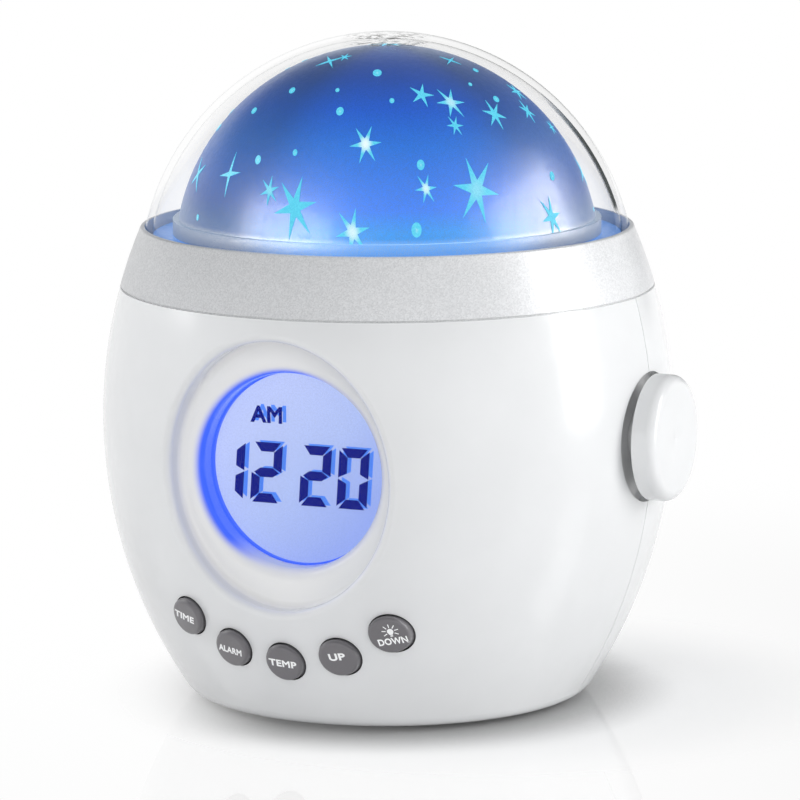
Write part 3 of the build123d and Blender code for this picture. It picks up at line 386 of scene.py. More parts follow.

# %% [markdown]
# ## Star dome
# The dome is moulded in dark blue with a pearl coat. The light of the lamps inside is a painted glow in its
# finish, strongest low down and on the side a little right of the front. Silver flakes lie in the coat: they
# pick up the lights at the left and right and turn the dome lavender there, while the middle stays deep
# blue. The bead round its foot holds the most silver, and the flange below it has a painted glow all the
# way round.

# %% Star dome finish
DOME_RADIUS, DOME_CENTRE = 40.815 * MM, 84.935 * MM
DOME_FOOT, DOME_TOP = 92.75 * MM, 125.75 * MM
PAINTED_GLOW_SIDE = (math.sin(math.radians(28)), -math.cos(math.radians(28)), 0)
DEEP_BLUE, BEAD_GREY = (0.004, 0.02, 0.08, 1), (0.07, 0.075, 0.085, 1)
LOW_FLAKE, HIGH_FLAKE = (0.095, 0.102, 0.106, 1), (0.035, 0.08, 0.11, 1)
BEAD_FLAKE = (0.30, 0.305, 0.315, 1)
SHEEN_BLUE = (0.75, 0.88, 1.0, 1)
# share of the height, and the colour of the painted glow there
DOME_PAINTED_GLOW = (
    (0.0, (0.015, 0.17, 0.60)),
    (0.10, (0.02, 0.26, 0.72)),
    (0.16, (0.03, 0.29, 0.78)),
    (0.27, (0.04, 0.20, 0.82)),
    (0.57, (0.008, 0.135, 0.60)),
    (0.74, (0.001, 0.065, 0.48)),
    (0.88, (0.0, 0.028, 0.26)),
    (1.0, (0.0, 0.014, 0.15)),
)
star_blue = Finish("star_blue")
dome_height = star_blue.split()[2]
rise = star_blue.span(dome_height, DOME_FOOT - 4 * MM, DOME_TOP, smooth=False)
flake = star_blue.cells(6200.0)
flake_share = star_blue.ramp(flake, (0.30, 0.12), (0.85, 0.5))
bead = star_blue.times(star_blue.span(rise, 0.135, 0.10), star_blue.span(rise, 0.028, 0.036))
silver_flake = star_blue.mix(star_blue.span(rise, 0.3, 0.75), LOW_FLAKE, HIGH_FLAKE)
silver_flake = star_blue.mix(bead, silver_flake, BEAD_FLAKE)
under_coat = star_blue.mix(bead, DEEP_BLUE, BEAD_GREY)
# Painted light: the emission is a glow for the lamps inside, strongest low, to one side, and on the flange.
toward = star_blue.vector_maths("DOT_PRODUCT", star_blue.place, PAINTED_GLOW_SIDE)
facing = star_blue.maths("DIVIDE", toward, star_blue.away((0, 0, 0), (1, 1, 0)))
painted_flank_glow = star_blue.span(rise, 0.15, 0.5, 0.18, 0.42)
painted_flange_glow = star_blue.span(rise, 0.034, 0.028, 0.0, 0.8)
painted_glow = star_blue.span(facing, 0.66, 0.99, painted_flank_glow, 1.0)
painted_glow = star_blue.maths("MAXIMUM", painted_glow, painted_flange_glow)
star_blue.set(
    base_color=star_blue.mix(flake_share, under_coat, silver_flake),
    metallic=flake_share,
    roughness=star_blue.span(star_blue.noise(900.0), 0.3, 0.7, 0.34, 0.42),
    normal=star_blue.bump(flake, 0.06, 0.04 * MM),
    emission_color=star_blue.ramp(rise, *DOME_PAINTED_GLOW),
    emission_strength=star_blue.times(painted_glow, star_blue.span(flake, 0.2, 0.9, 1.12, 0.88)),
    coat_weight=0.1,
    coat_roughness=0.12,
    sheen_weight=0.2,
    sheen_roughness=0.35,
    sheen_tint=SHEEN_BLUE,
)
paint(star_blue, "star_dome")

# %% [markdown]
# ## Star windows
# The stars are clear windows that the lamps shine through. That light is painted into them as a bright
# cyan glow, with a painted white glint at the heart of some, so they read as bright cyan shapes flush with
# the dome. They repeat and follow a surface, which is work for Geometry Nodes: points on the dome carry
# a size, a stretch and a turn, a unit star is set on each point, and the result is pressed onto the
# sphere and given a little thickness. The stars seen in the photograph keep their places; those on the
# far side are scattered with a fixed seed.

# %% Places of the stars
# longitude from the front towards the knob, latitude, half-width in mm, rays, turn, painted glint
SEEN_STARS = [
    (-28.3, 70.8, 2.8, 4, 8, 0), (-20.6, 74.2, 1.4, 6, 0, 0), (86.7, 70.2, 2.2, 4, -12, 0),
    (201.2, 86.0, 3.6, 6, 10, 0), (41.1, 55.4, 2.4, 5, 8, 0), (53.1, 51.9, 2.9, 6, 20, 0.5),
    (50.3, 43.8, 1.7, 6, 15, 0), (70.7, 46.4, 2.7, 6, 10, 0), (93.3, 45.5, 2.2, 6, 20, 0),
    (17.5, 38.6, 3.0, 6, 5, 1), (-29.8, 27.3, 3.1, 4, -20, 0), (-51.2, 25.0, 3.1, 4, -12, 0),
    (-11.3, 24.1, 2.15, 6, 10, 0.2), (-1.9, 20.1, 4.4, 6, 8, 0), (35.9, 25.6, 2.1, 6, 12, 0.8),
    (51.3, 24.7, 4.7, 6, -3, 0.2), (76.1, 15.2, 2.9, 6, 30, 0), (15.3, 14.2, 3.3, 6, 14, 0.8),
    (105.2, 52.0, 2.4, 6, 0, 0), (111.2, 24.0, 3.2, 4, 10, 0),
]
SEEN_DOTS = [
    (18.8, 65.6, 0.84), (93.2, 63.5, 0.6), (71.9, 58.2, 0.4), (-25.9, 55.7, 0.66), (0.1, 57.2, 0.4),
    (-38.7, 46.7, 0.66), (5.6, 49.2, 0.72), (27.0, 53.3, 0.46), (78.9, 51.4, 0.66), (-19.6, 32.3, 0.66),
    (-6.2, 35.3, 0.48), (35.1, 32.3, 0.72), (82.4, 25.9, 0.66), (-40.0, 14.2, 0.42), (32.5, 14.7, 0.95),
    (45.6, 9.6, 0.7), (-34.8, 9.2, 0.8), (-59.8, 9.4, 0.6),
]
DOT_RAYS, DOT_PAINTED_GLINT = 0, 0.3
seen = SEEN_STARS + [(*row, DOT_RAYS, 0, DOT_PAINTED_GLINT) for row in SEEN_DOTS]


def dome_direction(longitude, latitude):
    lon, lat = math.radians(longitude), math.radians(latitude)
    return Vector((math.sin(lon) * math.cos(lat), -math.cos(lon) * math.cos(lat), math.sin(lat)))


TRIES, STARS_IN_ALL = 900, 76
STAR_SPREAD, STAR_GAP = 1.9, 2.5  # degrees for each mm of half-width, and degrees between two stars
draw = np.random.RandomState(7)
stars = list(seen)
for _ in range(TRIES):
    lon = draw.uniform(100.0, 302.0)
    lat = math.degrees(math.asin(draw.uniform(math.sin(math.radians(13)), math.sin(math.radians(80)))))
    kind = draw.choice([DOT_RAYS, 4, 6, 6], p=[0.45, 0.15, 0.25, 0.15])
    half = draw.uniform(0.4, 0.9) if kind == DOT_RAYS else draw.choice([1.5, 2.2, 2.8, 4.2])
    turn = draw.uniform(-20, 20)
    here = dome_direction(lon, lat)
    clear_of = all(
        math.degrees(here.angle(dome_direction(*row[:2]))) > STAR_SPREAD * (half + row[2]) + STAR_GAP
        for row in stars
    )
    if clear_of and len(stars) < STARS_IN_ALL:
        stars.append((lon, lat, half, int(kind), turn, 0))
print("stars", len(stars), "of which seen in the photograph", len(seen))

# %% Geometry Nodes helpers


class Tree(Nodes):
    """A Geometry Nodes tree with named inputs, built node by node."""

    def __init__(self, name, inputs):
        self.tree = bpy.data.node_groups.new(name, "GeometryNodeTree")
        face = self.tree.interface
        face.new_socket("Geometry", in_out="INPUT", socket_type="NodeSocketGeometry")
        self.sockets = {}
        for key, (kind, value) in inputs.items():
            socket = face.new_socket(key, in_out="INPUT", socket_type=kind)
            self.sockets[key] = (socket.identifier, value)
        face.new_socket("Geometry", in_out="OUTPUT", socket_type="NodeSocketGeometry")
        self.start = self.tree.nodes.new("NodeGroupInput")
        self.end = self.tree.nodes.new("NodeGroupOutput")

    def named(self, name, kind="FLOAT"):
        return self.add("GeometryNodeInputNamedAttribute", {"Name": name}, data_type=kind).outputs[0]

    def turned(self):
        """Each point's turn, from the angles that it carries."""
        angles = self.named("turn", "FLOAT_VECTOR")
        return self.add("FunctionNodeEulerToRotation", {0: angles}).outputs[0]

    def join(self, *parts):
        node = self.add("GeometryNodeJoinGeometry")
        for part in parts:
            self.feed(node.inputs[0], part.outputs[0])
        return node

    def close(self, last):
        """Gives the finish to what the tree has made and hands it out."""
        inputs = {"Geometry": last.outputs[0], "Material": self.start.outputs["Finish"]}
        self.feed(self.end.inputs[0], self.add("GeometryNodeSetMaterial", inputs).outputs[0])
        print(self.tree.name, "tree with", len(self.tree.nodes), "nodes")

    def grow(self, name, mesh, material, body, slot, **values):
        """Runs the tree on a mesh, keeps the result as a plain mesh and rides it on a body."""
        holder = bpy.data.objects.new(name, mesh)
        bpy.context.scene.collection.objects.link(holder)
        modifier = holder.modifiers.new(name, "NODES")
        modifier.node_group = self.tree
        for key, (identifier, value) in self.sockets.items():
            modifier[identifier] = values.get(key.lower().replace(" ", "_"), value)
        view = bpy.context.evaluated_depsgraph_get()
        made = bpy.data.meshes.new_from_object(holder.evaluated_get(view), depsgraph=view)
        holder.modifiers.clear()
        holder.data = made
        made.name = name
        made.materials.clear()
        made.materials.append(material)
        made.polygons.foreach_set("material_index", [0] * len(made.polygons))
        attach(holder, body)
        print(name, "faces", len(made.polygons), "material", material.name)
        return holder


def points_mesh(name, places, **attributes):
    mesh = bpy.data.meshes.new(name)
    mesh.from_pydata([tuple(place) for place in places], [], [])
    for key, values in attributes.items():
        kind, field = ("FLOAT_VECTOR", "vector") if hasattr(values[0], "__len__") else ("FLOAT", "value")
        layer = mesh.attributes.new(key, kind, "POINT")
        layer.data.foreach_set(field, np.ravel(values).astype(np.float32))
    return mesh


# %% Star finish
# Painted light: the stars give off the lamps' light as a cyan glow, with a white glint at some hearts.
star_light = Finish("star_window")
reach = star_light.add("ShaderNodeAttribute", attribute_name="ray_share").outputs["Fac"]
glint = star_light.add("ShaderNodeAttribute", attribute_name="glint").outputs["Fac"]
painted_glint_heart = star_light.times(star_light.span(reach, 0.55, 0.05), glint)
painted_frosted_glow = star_light.ramp(star_light.noise(1500.0), (0.3, (0.10, 0.62, 0.85)), (0.7, (0.13, 0.70, 0.90)))
star_light.set(
    base_color=(0.01, 0.06, 0.09, 1),
    roughness=star_light.span(star_light.noise(2500.0), 0.3, 0.7, 0.2, 0.35),
    emission_color=star_light.mix(painted_glint_heart, painted_frosted_glow, (0.85, 1.0, 1.0, 1)),
    emission_strength=1.0,
)
print("finish", star_light.material.name)

# %% Star tree
STAR_STRETCH = 1.5
STAR_LIFT, STAR_DEPTH, WELD = 0.03 * MM, 0.05 * MM, 0.002 * MM
DOT_SIDES, DOT_LEVEL, RAY_LEVEL = 20, 1, 3
INNER_SHARE = {4: 0.15, 5: 0.27, 6: 0.27}
star_tree = Tree("star_windows", {
    "Sphere radius": ("NodeSocketFloat", DOME_RADIUS),
    "Sphere centre": ("NodeSocketVector", (0, 0, DOME_CENTRE)),
    "Lift": ("NodeSocketFloat", STAR_LIFT),
    "Depth": ("NodeSocketFloat", STAR_DEPTH),
    "Finish": ("NodeSocketMaterial", star_light.material),
})
given = star_tree.start.outputs
rays_here = star_tree.named("rays")
size_here = star_tree.named("size", "FLOAT_VECTOR")
turn_here = star_tree.turned()
kinds = []
for rays in (DOT_RAYS, *INNER_SHARE):
    if rays == DOT_RAYS:
        outline = star_tree.add("GeometryNodeCurvePrimitiveCircle", {"Resolution": DOT_SIDES, "Radius": 1.0})
    else:
        sizes = {"Points": rays, "Inner Radius": INNER_SHARE[rays], "Outer Radius": 1.0}
        outline = star_tree.add("GeometryNodeCurveStar", sizes)
    filled = star_tree.add("GeometryNodeFillCurve", {"Curve": outline.outputs[0]})
    fineness = {"Mesh": filled.outputs[0], "Level": DOT_LEVEL if rays == DOT_RAYS else RAY_LEVEL}
    fine = star_tree.add("GeometryNodeSubdivideMesh", fineness)
    reach_here = star_tree.vector_maths("LENGTH", star_tree.add("GeometryNodeInputPosition").outputs[0])
    marked = star_tree.add(
        "GeometryNodeStoreNamedAttribute",
        {"Geometry": fine.outputs[0], "Name": "ray_share", "Value": reach_here},
        data_type="FLOAT",
        domain="POINT",
    )
    rays_wanted = {"A": rays_here, "B": float(rays), "Epsilon": 0.1}
    chosen = star_tree.add("FunctionNodeCompare", rays_wanted, operation="EQUAL")
    kinds.append(star_tree.add("GeometryNodeInstanceOnPoints", {
        "Points": given["Geometry"], "Selection": chosen.outputs[0], "Instance": marked.outputs[0],
        "Rotation": turn_here, "Scale": size_here,
    }))
real = star_tree.add("GeometryNodeRealizeInstances", {"Geometry": star_tree.join(*kinds).outputs[0]})

# %% [markdown]
# The flat stars are pressed onto the sphere: each point keeps its direction from the dome's centre and
# takes the dome's radius. An extrusion and a flipped copy then close them into thin plates.

# %% Press the stars onto the dome
spot = star_tree.add("GeometryNodeInputPosition").outputs[0]
unit = star_tree.vector_maths("NORMALIZE", star_tree.vector_maths("SUBTRACT", spot, given["Sphere centre"]))
level = star_tree.maths("ADD", given["Sphere radius"], given["Lift"])
pressed = star_tree.add("ShaderNodeVectorMath", {0: unit, "Scale": level}, operation="SCALE").outputs[0]
onto = star_tree.vector_maths("ADD", pressed, given["Sphere centre"])
shaped = star_tree.add("GeometryNodeSetPosition", {"Geometry": real.outputs[0], "Position": onto})
plates = {"Mesh": shaped.outputs[0], "Offset Scale": given["Depth"], "Individual": False}
raised = star_tree.add("GeometryNodeExtrudeMesh", plates)
under = star_tree.add("GeometryNodeFlipFaces", {"Mesh": shaped.outputs[0]})
closed = star_tree.join(raised, under)
welded = star_tree.add("GeometryNodeMergeByDistance", {"Geometry": closed.outputs[0], "Distance": WELD})
star_tree.close(welded)

# %% Grow the stars
centre = Vector((0, 0, DOME_CENTRE))
places, turns, sizes = [], [], []
for longitude, latitude, half, rays, turn, shine in stars:
    normal = dome_direction(longitude, latitude)
    across = screen_right - normal * screen_right.dot(normal)
    across.normalize()
    upright = normal.cross(across)
    basis = Matrix((across, upright, normal)).transposed()
    spin = Matrix.Rotation(math.radians(turn), 3, "Z")
    places.append(centre + normal * DOME_RADIUS)
    turns.append(tuple((basis @ spin).to_euler()))
    sizes.append((half * MM, half * MM * STAR_STRETCH, 1.0))
star_points = points_mesh(
    "star_points",
    places,
    turn=turns,
    size=sizes,
    rays=[float(row[3]) for row in stars],
    glint=[float(row[5]) for row in stars],
)
star_tree.grow("star_windows", star_points, star_light.material, "housing", "star_blue")

# %% [markdown]
# ## Lit display
# Behind the window lies a liquid-crystal panel on a blue backlight. The backlight is the lamp here: its
# finish gives off pale blue with a fine grain, a little brighter at the upper left. The panel is a thin
# glass that hardly shows. Dark segments stand on the panel's front, and behind each lies a softer painted
# shadow on the backlight, which is why the figures look doubled. The segments give off a faint blue,
# painted light for the backlight showing through them.

# %% Display finishes
backlight = Finish("display_light")
light_x, _, light_z = backlight.split()
drift = backlight.maths("SUBTRACT", light_x, backlight.maths("SUBTRACT", light_z, DISPLAY_HEIGHT))
wash = backlight.ramp(
    backlight.span(drift, -20 * MM, 22 * MM, smooth=False),
    (0.0, (0.57, 0.66, 0.98)),
    (0.5, (0.47, 0.58, 0.94)),
    (1.0, (0.33, 0.44, 0.90)),
)
speckle = backlight.ramp(backlight.noise(3000.0, 2.0), (0.25, 0.86), (0.75, 1.0))
backlight.set(
    base_color=(0.08, 0.1, 0.2, 1),
    roughness=0.6,
    emission_color=backlight.mix(1.0, wash, speckle, "MULTIPLY"),
    emission_strength=0.89,
)
panel_glass = Finish("display_glass")
glass_tone = panel_glass.noise(1200.0)
panel_glass.set(
    base_color=panel_glass.ramp(glass_tone, (0.3, (0.05, 0.06, 0.10)), (0.7, (0.06, 0.07, 0.12))),
    roughness=panel_glass.span(panel_glass.noise(2000.0), 0.3, 0.7, 0.25, 0.4),
    alpha=0.02,
)
# Painted light: the frame round the panel gives off the same blue glow as the well.
panel_frame = moulded("display_frame", (0.02, 0.04, 0.25), (0.03, 0.05, 0.3), 0.6)
panel_frame.set(emission_color=PAINTED_GLOW_BLUE, emission_strength=PAINTED_GLOW_STRENGTH)
paint(backlight, "backlight")
paint(panel_glass, "lcd_panel")
paint(panel_frame, "lcd_frame")

# %% [markdown]
# ## Print
# The figures of the display and the words on the buttons are thin plates of ink. A flat outline is drawn
# first, cut fine enough to bend, laid onto the surface that carries it and closed with a back face.

# %% Flat outlines


def embolden(shape, weight):
    """Moves the outline of a flat shape outwards by an even width."""
    pushes = {}
    for edge in shape.edges:
        if len(edge.link_faces) == 1:
            along = (edge.verts[1].co - edge.verts[0].co).normalized()
            out = Vector((along.y, -along.x, 0))
            if out.dot(edge.link_faces[0].calc_center_median() - edge.verts[0].co) > 0:
                out = -out
            for vert in edge.verts:
                pushes.setdefault(vert, []).append(out)
    for vert, outs in pushes.items():
        total = sum(outs, Vector())
        vert.co += total * weight * len(outs) / max(total.length_squared, 1.0)


def flat_text(words, weight):
    """The filled letters of a word as a flat mesh, centred, one unit high."""
    curve = bpy.data.curves.new(words, "FONT")
    curve.body = words
    curve.resolution_u = 6
    curve.space_character = 1 + 2 * weight
    holder = bpy.data.objects.new(words, curve)
    bpy.context.scene.collection.objects.link(holder)
    view = bpy.context.evaluated_depsgraph_get()
    mesh = bpy.data.meshes.new_from_object(holder.evaluated_get(view), depsgraph=view)
    shape = bmesh.new()
    shape.from_mesh(mesh)
    bpy.data.objects.remove(holder)
    bpy.data.meshes.remove(mesh)
    bmesh.ops.remove_doubles(shape, verts=shape.verts, dist=0.005)
    embolden(shape, weight)
    low = Vector([min(v.co[i] for v in shape.verts) for i in range(3)])
    high = Vector([max(v.co[i] for v in shape.verts) for i in range(3)])
    middle, size = (low + high) / 2, high - low
    for vert in shape.verts:
        vert.co = ((vert.co.x - middle.x) / size.x, (vert.co.y - middle.y) / size.y, 0)
    return shape


def flat_polygons(outlines):
    shape = bmesh.new()
    for outline in outlines:
        shape.faces.new([shape.verts.new((x, y, 0)) for x, y in outline])
    return shape


# %% Press onto a surface and keep


def press(shape, onto, low, high, longest):
    """Cuts a flat shape fine enough to bend, lays it on a surface and closes it into a thin plate."""
    bmesh.ops.triangulate(shape, faces=shape.faces)
    for _ in range(6):
        long_edges = [edge for edge in shape.edges if edge.calc_length() > longest]
        if not long_edges:
            break
        bmesh.ops.subdivide_edges(shape, edges=long_edges, cuts=1)
        bmesh.ops.triangulate(shape, faces=shape.faces)
    grown = bmesh.ops.extrude_face_region(shape, geom=shape.faces[:])
    top = {item for item in grown["geom"] if isinstance(item, bmesh.types.BMVert)}
    for vert in shape.verts:
        vert.co = onto(vert.co.x, vert.co.y, high if vert in top else low)
    bmesh.ops.recalc_face_normals(shape, faces=shape.faces)


def keep(name, shapes, finish, body):
    """One finished piece out of one or more pressed shapes."""
    mesh = bpy.data.meshes.new(name)
    whole = bmesh.new()
    for shape in shapes:
        part = bpy.data.meshes.new("part")
        shape.to_mesh(part)
        whole.from_mesh(part)
        bpy.data.meshes.remove(part)
        shape.free()
    whole.to_mesh(mesh)
    whole.free()
    mesh.validate()
    mesh.materials.append(finish.material)
    piece = bpy.data.objects.new(name, mesh)
    bpy.context.scene.collection.objects.link(piece)
    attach(piece, body)
    print(name, "faces", len(mesh.polygons))


# %% Seven-segment figures
DIGIT_WIDE, DIGIT_TALL, BAR, BAR_GAP = 6.2, 11.5, 1.75, 0.09
DIGIT_LEAN = math.tan(math.radians(4.0))
SEGMENTS_OF = {"0": "abcdef", "1": "bc", "2": "abged"}


def segment(key):
    """One bar of a figure, in mm from the figure's centre."""
    wide, tall, bar, gap, cut = DIGIT_WIDE / 2, DIGIT_TALL / 2, BAR, BAR_GAP, 0.2 * BAR
    end_bar = [(-wide + cut + gap, tall), (wide - cut - gap, tall), (wide - bar - gap / 2, tall - bar),
               (-wide + bar + gap / 2, tall - bar)]
    side_bar = [(wide, tall - cut - gap), (wide, gap), (wide - bar, bar / 2 + gap),
                (wide - bar, tall - bar - gap)]
    tip = wide - 0.3 * bar
    middle_bar = [(-tip, 0), (-wide + bar + gap / 2, bar / 2), (wide - bar - gap / 2, bar / 2), (tip, 0),
                  (wide - bar - gap / 2, -bar / 2), (-wide + bar + gap / 2, -bar / 2)]
    flips = {"a": (end_bar, 1, 1), "d": (end_bar, 1, -1), "b": (side_bar, 1, 1), "c": (side_bar, 1, -1),
             "f": (side_bar, -1, 1), "e": (side_bar, -1, -1), "g": (middle_bar, 1, 1)}
    outline, across, up = flips[key]
    points = [(x * across, y * up) for x, y in outline]
    return points if across * up > 0 else points[::-1]


TIME_SHOWN = [("1", -15.3), ("2", -7.55), ("2", 2.6), ("0", 10.35)]
FIGURES_DROP = -1.55
bars = []
for figure, across in TIME_SHOWN:
    for key in SEGMENTS_OF[figure]:
        bars.append([(x + across + y * DIGIT_LEAN, y + FIGURES_DROP) for x, y in segment(key)])
MARK_WIDE, MARK_TALL, MARK_ACROSS, MARK_UP, MARK_WEIGHT = 6.6, 3.2, -7.5, 9.5, 0.035
print("bars in the figures", len(bars))

# %% Figures and their painted shadows
PANEL_THICK = 1.8 * MM
INK_HIGH, PAINTED_SHADOW_LOW = 0.02 * MM, -0.01 * MM
UNCUT = 20.0  # mm, longer than any edge, because the panel is flat


def on_display(forward_at):
    def onto(x, y, lift):
        return (x * MM, -(forward_at + lift), DISPLAY_HEIGHT + y * MM)

    return onto


def display_marks():
    figures = flat_polygons(bars)
    mark = flat_text("AM", MARK_WEIGHT)
    for vert in mark.verts:
        vert.co = (vert.co.x * MARK_WIDE + MARK_ACROSS, vert.co.y * MARK_TALL + MARK_UP, 0)
    return figures, mark


segment_ink = moulded("segment_ink", (0.002, 0.004, 0.10), (0.003, 0.006, 0.13), 0.5, tone_scale=900.0)
segment_shadow = moulded("segment_shadow", (0.05, 0.14, 0.5), (0.06, 0.16, 0.55), 0.6, tone_scale=900.0)
# Painted light: the painted shadows give off lighter blue, the ink a faint blue for backlight through it.
segment_shadow.set(emission_color=(0.085, 0.24, 0.78, 1), emission_strength=0.75)
segment_ink.set(emission_color=(0.002, 0.006, 0.15, 1), emission_strength=0.8)
for ink in (segment_ink, segment_shadow, backlight, panel_glass):
    ink.set(specular_ior_level=0.05)
# The second row draws the painted shadows: lighter blue plates lying on the backlight.
for name, forward_at, low, finish in (
    ("display_figures", PANEL_FORWARD, 0.0, segment_ink),
    ("display_painted_shadows", PANEL_FORWARD - PANEL_THICK, PAINTED_SHADOW_LOW, segment_shadow),
):
    shapes = display_marks()
    for shape in shapes:
        press(shape, on_display(forward_at), low, INK_HIGH, UNCUT)
    keep(name, shapes, finish, "housing")

# %% [markdown]
# ## Buttons
# The five buttons are dark grey, slightly rubbery plastic, and their faces follow the egg. Each carries
# its plain function word in white, printed on the face, so the letters are laid onto the button's own
# mesh by casting rays at it. The last button also has a small lamp sign above its word.

# %% Buttons and their words
button_grey = moulded(
    "button_grey", (0.140, 0.134, 0.143), (0.158, 0.151, 0.162), 0.42, coat=0.5, peel=0.1, peel_scale=2200.0
)
paint(button_grey, "time_button", "alarm_button", "temperature_button", "up_button", "down_button")
word_white = moulded("word_white", (0.80, 0.80, 0.80), (0.86, 0.86, 0.86), 0.5, tone_scale=800.0)
# Painted light: the letters' faint white emission keeps the print brighter than its lighting would.
word_white.set(emission_color=(1, 1, 1, 1), emission_strength=0.14)
WORD_LOW, WORD_HIGH, WORD_WEIGHT, WORD_EDGE = -0.03 * MM, 0.035 * MM, 0.034, 0.5
SIGN_SCALE, SIGN_ACROSS, SIGN_UP = 1.3, 0.55, 0.75


def lamp_sign():
    """A bulb with its cap and seven rays, in mm from the bulb's middle."""
    bulb = [(0.42 * math.cos(a), 0.42 * math.sin(a)) for a in np.linspace(-0.2 * math.pi, 1.2 * math.pi, 18)]
    bulb += [(-0.18, -0.52), (0.18, -0.52)]
    cap = [(-0.18, -0.60), (0.18, -0.60), (0.18, -0.78), (-0.18, -0.78)]
    ray = ((0.58, -0.06), (1.12, -0.06), (1.12, 0.06), (0.58, 0.06))
    rays = []
    for turn in np.linspace(-30, 210, 7):
        c, s = math.cos(math.radians(turn)), math.sin(math.radians(turn))
        rays.append([(c * r - s * h, s * r + c * h) for r, h in ray])
    return flat_polygons([bulb, cap[::-1], *rays])


def on_button(node, across, up, turn):
    """Lays a point of the word's own plane on the face of a button."""
    mesh = node.data
    tree = BVHTree.FromPolygons([v.co for v in mesh.vertices], [p.vertices for p in mesh.polygons])
    low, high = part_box(node.name)
    middle = (low + high) / 2
    c, s = math.cos(math.radians(turn)), math.sin(math.radians(turn))

    def onto(x, y, lift):
        px = middle.x + (across + x * c - y * s) * MM
        pz = middle.z + (up + x * s + y * c) * MM
        hit, normal = tree.ray_cast(Vector((px, low.y - 0.02, pz)), Vector((0, 1, 0)))[:2]
        return hit + normal * lift

    return onto


# %% Print the words
# word, node, body, width and height in mm, turn in degrees, shift across and up in mm
WORDS = [
    ("TIME", "time_button", "time_key", 5.0, 1.35, -12, -0.6, 0.0),
    ("ALARM", "alarm_button", "alarm_key", 5.2, 1.3, -9, -0.3, -0.3),
    ("TEMP", "temperature_button", "temperature_key", 5.6, 1.4, -4, 0.0, -0.1),
    ("UP", "up_button", "up_key", 3.1, 1.45, 6, 0.1, 0.3),
    ("DOWN", "down_button", "down_key", 5.1, 1.35, 9, 0.7, -1.2),
]
for word, node, body, wide, tall, turn, across, up in WORDS:
    letters = flat_text(word, WORD_WEIGHT)
    for vert in letters.verts:
        vert.co = (vert.co.x * wide, vert.co.y * tall, 0)
    press(letters, on_button(nodes[node], across, up, turn), WORD_LOW, WORD_HIGH, WORD_EDGE)
    printed = [letters]
    if word == "DOWN":
        sign = lamp_sign()
        for vert in sign.verts:
            vert.co *= SIGN_SCALE
        press(sign, on_button(nodes[node], SIGN_ACROSS, SIGN_UP, turn), WORD_LOW, WORD_HIGH, WORD_EDGE)
        printed.append(sign)
    keep(f"word_{word.lower()}", printed, word_white, body)

# %% [markdown]
# ## Inside and underneath
# Most of these pieces are hidden when the lamp is closed, but they show when the door comes off or when a
# piece is reused, so each has a fitting finish: green boards with copper tracks, black resin, steel,
# paper and rubber.

# %% Inner finishes
board_green = Finish("board_green")
tracks = board_green.add("ShaderNodeTexBrick", {
    "Vector": board_green.place, "Scale": 260.0, "Mortar Size": 0.06,
    "Color1": (0.012, 0.11, 0.045, 1), "Color2": (0.016, 0.14, 0.055, 1), "Mortar": (0.03, 0.22, 0.09, 1),
})
board_green.set(
    base_color=tracks.outputs["Color"],
    roughness=board_green.span(board_green.noise(700.0), 0.3, 0.7, 0.25, 0.4),
    normal=board_green.bump(tracks.outputs["Fac"], 0.15, 0.05 * MM),
)
black_resin = moulded("black_resin", (0.012, 0.012, 0.013), (0.02, 0.02, 0.021), 0.45, peel=0.15)
grey_rubber = moulded(
    "grey_rubber", (0.30, 0.30, 0.31), (0.36, 0.36, 0.37), 0.75, peel=0.25, peel_scale=1800.0
)
zinc_steel = metal("zinc_steel", (0.52, 0.53, 0.55), (0.64, 0.65, 0.67), 0.32)
nickel = metal("nickel_strip", (0.60, 0.57, 0.52), (0.70, 0.67, 0.62), 0.25)
dimmer_metal = metal("dimmer_metal", (0.50, 0.50, 0.50), (0.60, 0.60, 0.60), 0.4)
speaker_metal = metal("speaker_metal", (0.35, 0.35, 0.36), (0.45, 0.45, 0.46), 0.45)
black_paper = moulded(
    "black_paper", (0.014, 0.014, 0.014), (0.028, 0.027, 0.026), 0.85, peel=0.4, peel_scale=1500.0
)
CELL_HALF = 22 * MM
BARE_METAL, JACKET_DARK, JACKET_COPPER = (0.62, 0.63, 0.65), (0.03, 0.05, 0.10), (0.75, 0.42, 0.08)
cell_jacket = Finish("cell_jacket")
bands = cell_jacket.ramp(
    cell_jacket.span(cell_jacket.split()[0], -CELL_HALF, CELL_HALF, smooth=False),
    (0.0, BARE_METAL), (0.04, JACKET_DARK), (0.70, JACKET_DARK),
    (0.72, JACKET_COPPER), (0.97, JACKET_COPPER), (1.0, BARE_METAL),
)
cell_jacket.set(base_color=bands, roughness=cell_jacket.span(cell_jacket.noise(400.0), 0.3, 0.7, 0.2, 0.32))
lamp_epoxy = moulded("lamp_epoxy", (0.45, 0.62, 0.95), (0.55, 0.72, 1.0), 0.12, coat=0.3)
lamp_epoxy.set(emission_color=(0.15, 0.4, 1.0, 1), emission_strength=0.8)
paint(board_green, "main_board", "led_board", "dimmer_board")
paint(black_resin, "clock_chip", "temperature_sensor")
paint(grey_rubber, "rubber_keypad", "foot_ring")
paint(zinc_steel, "board_screws", "deck_screws", "housing_screws", "door_screws")
paint(nickel, "battery_contacts")
paint(dimmer_metal, "dimmer_can", "dimmer_shaft")
paint(speaker_metal, "speaker_basket")
paint(black_paper, "speaker_cone")
paint(cell_jacket, "battery_cells")
paint(lamp_epoxy, "led_lamps")

# %% [markdown]
# ## Screws
# The screws that hold the shells and the door have a cross recess, which the CAD model leaves out. One
# tree makes a screw from a tapered head, a cross cut out of it and a plain shank, and sets it on every
# point it is given. The two kinds differ only in their sizes.

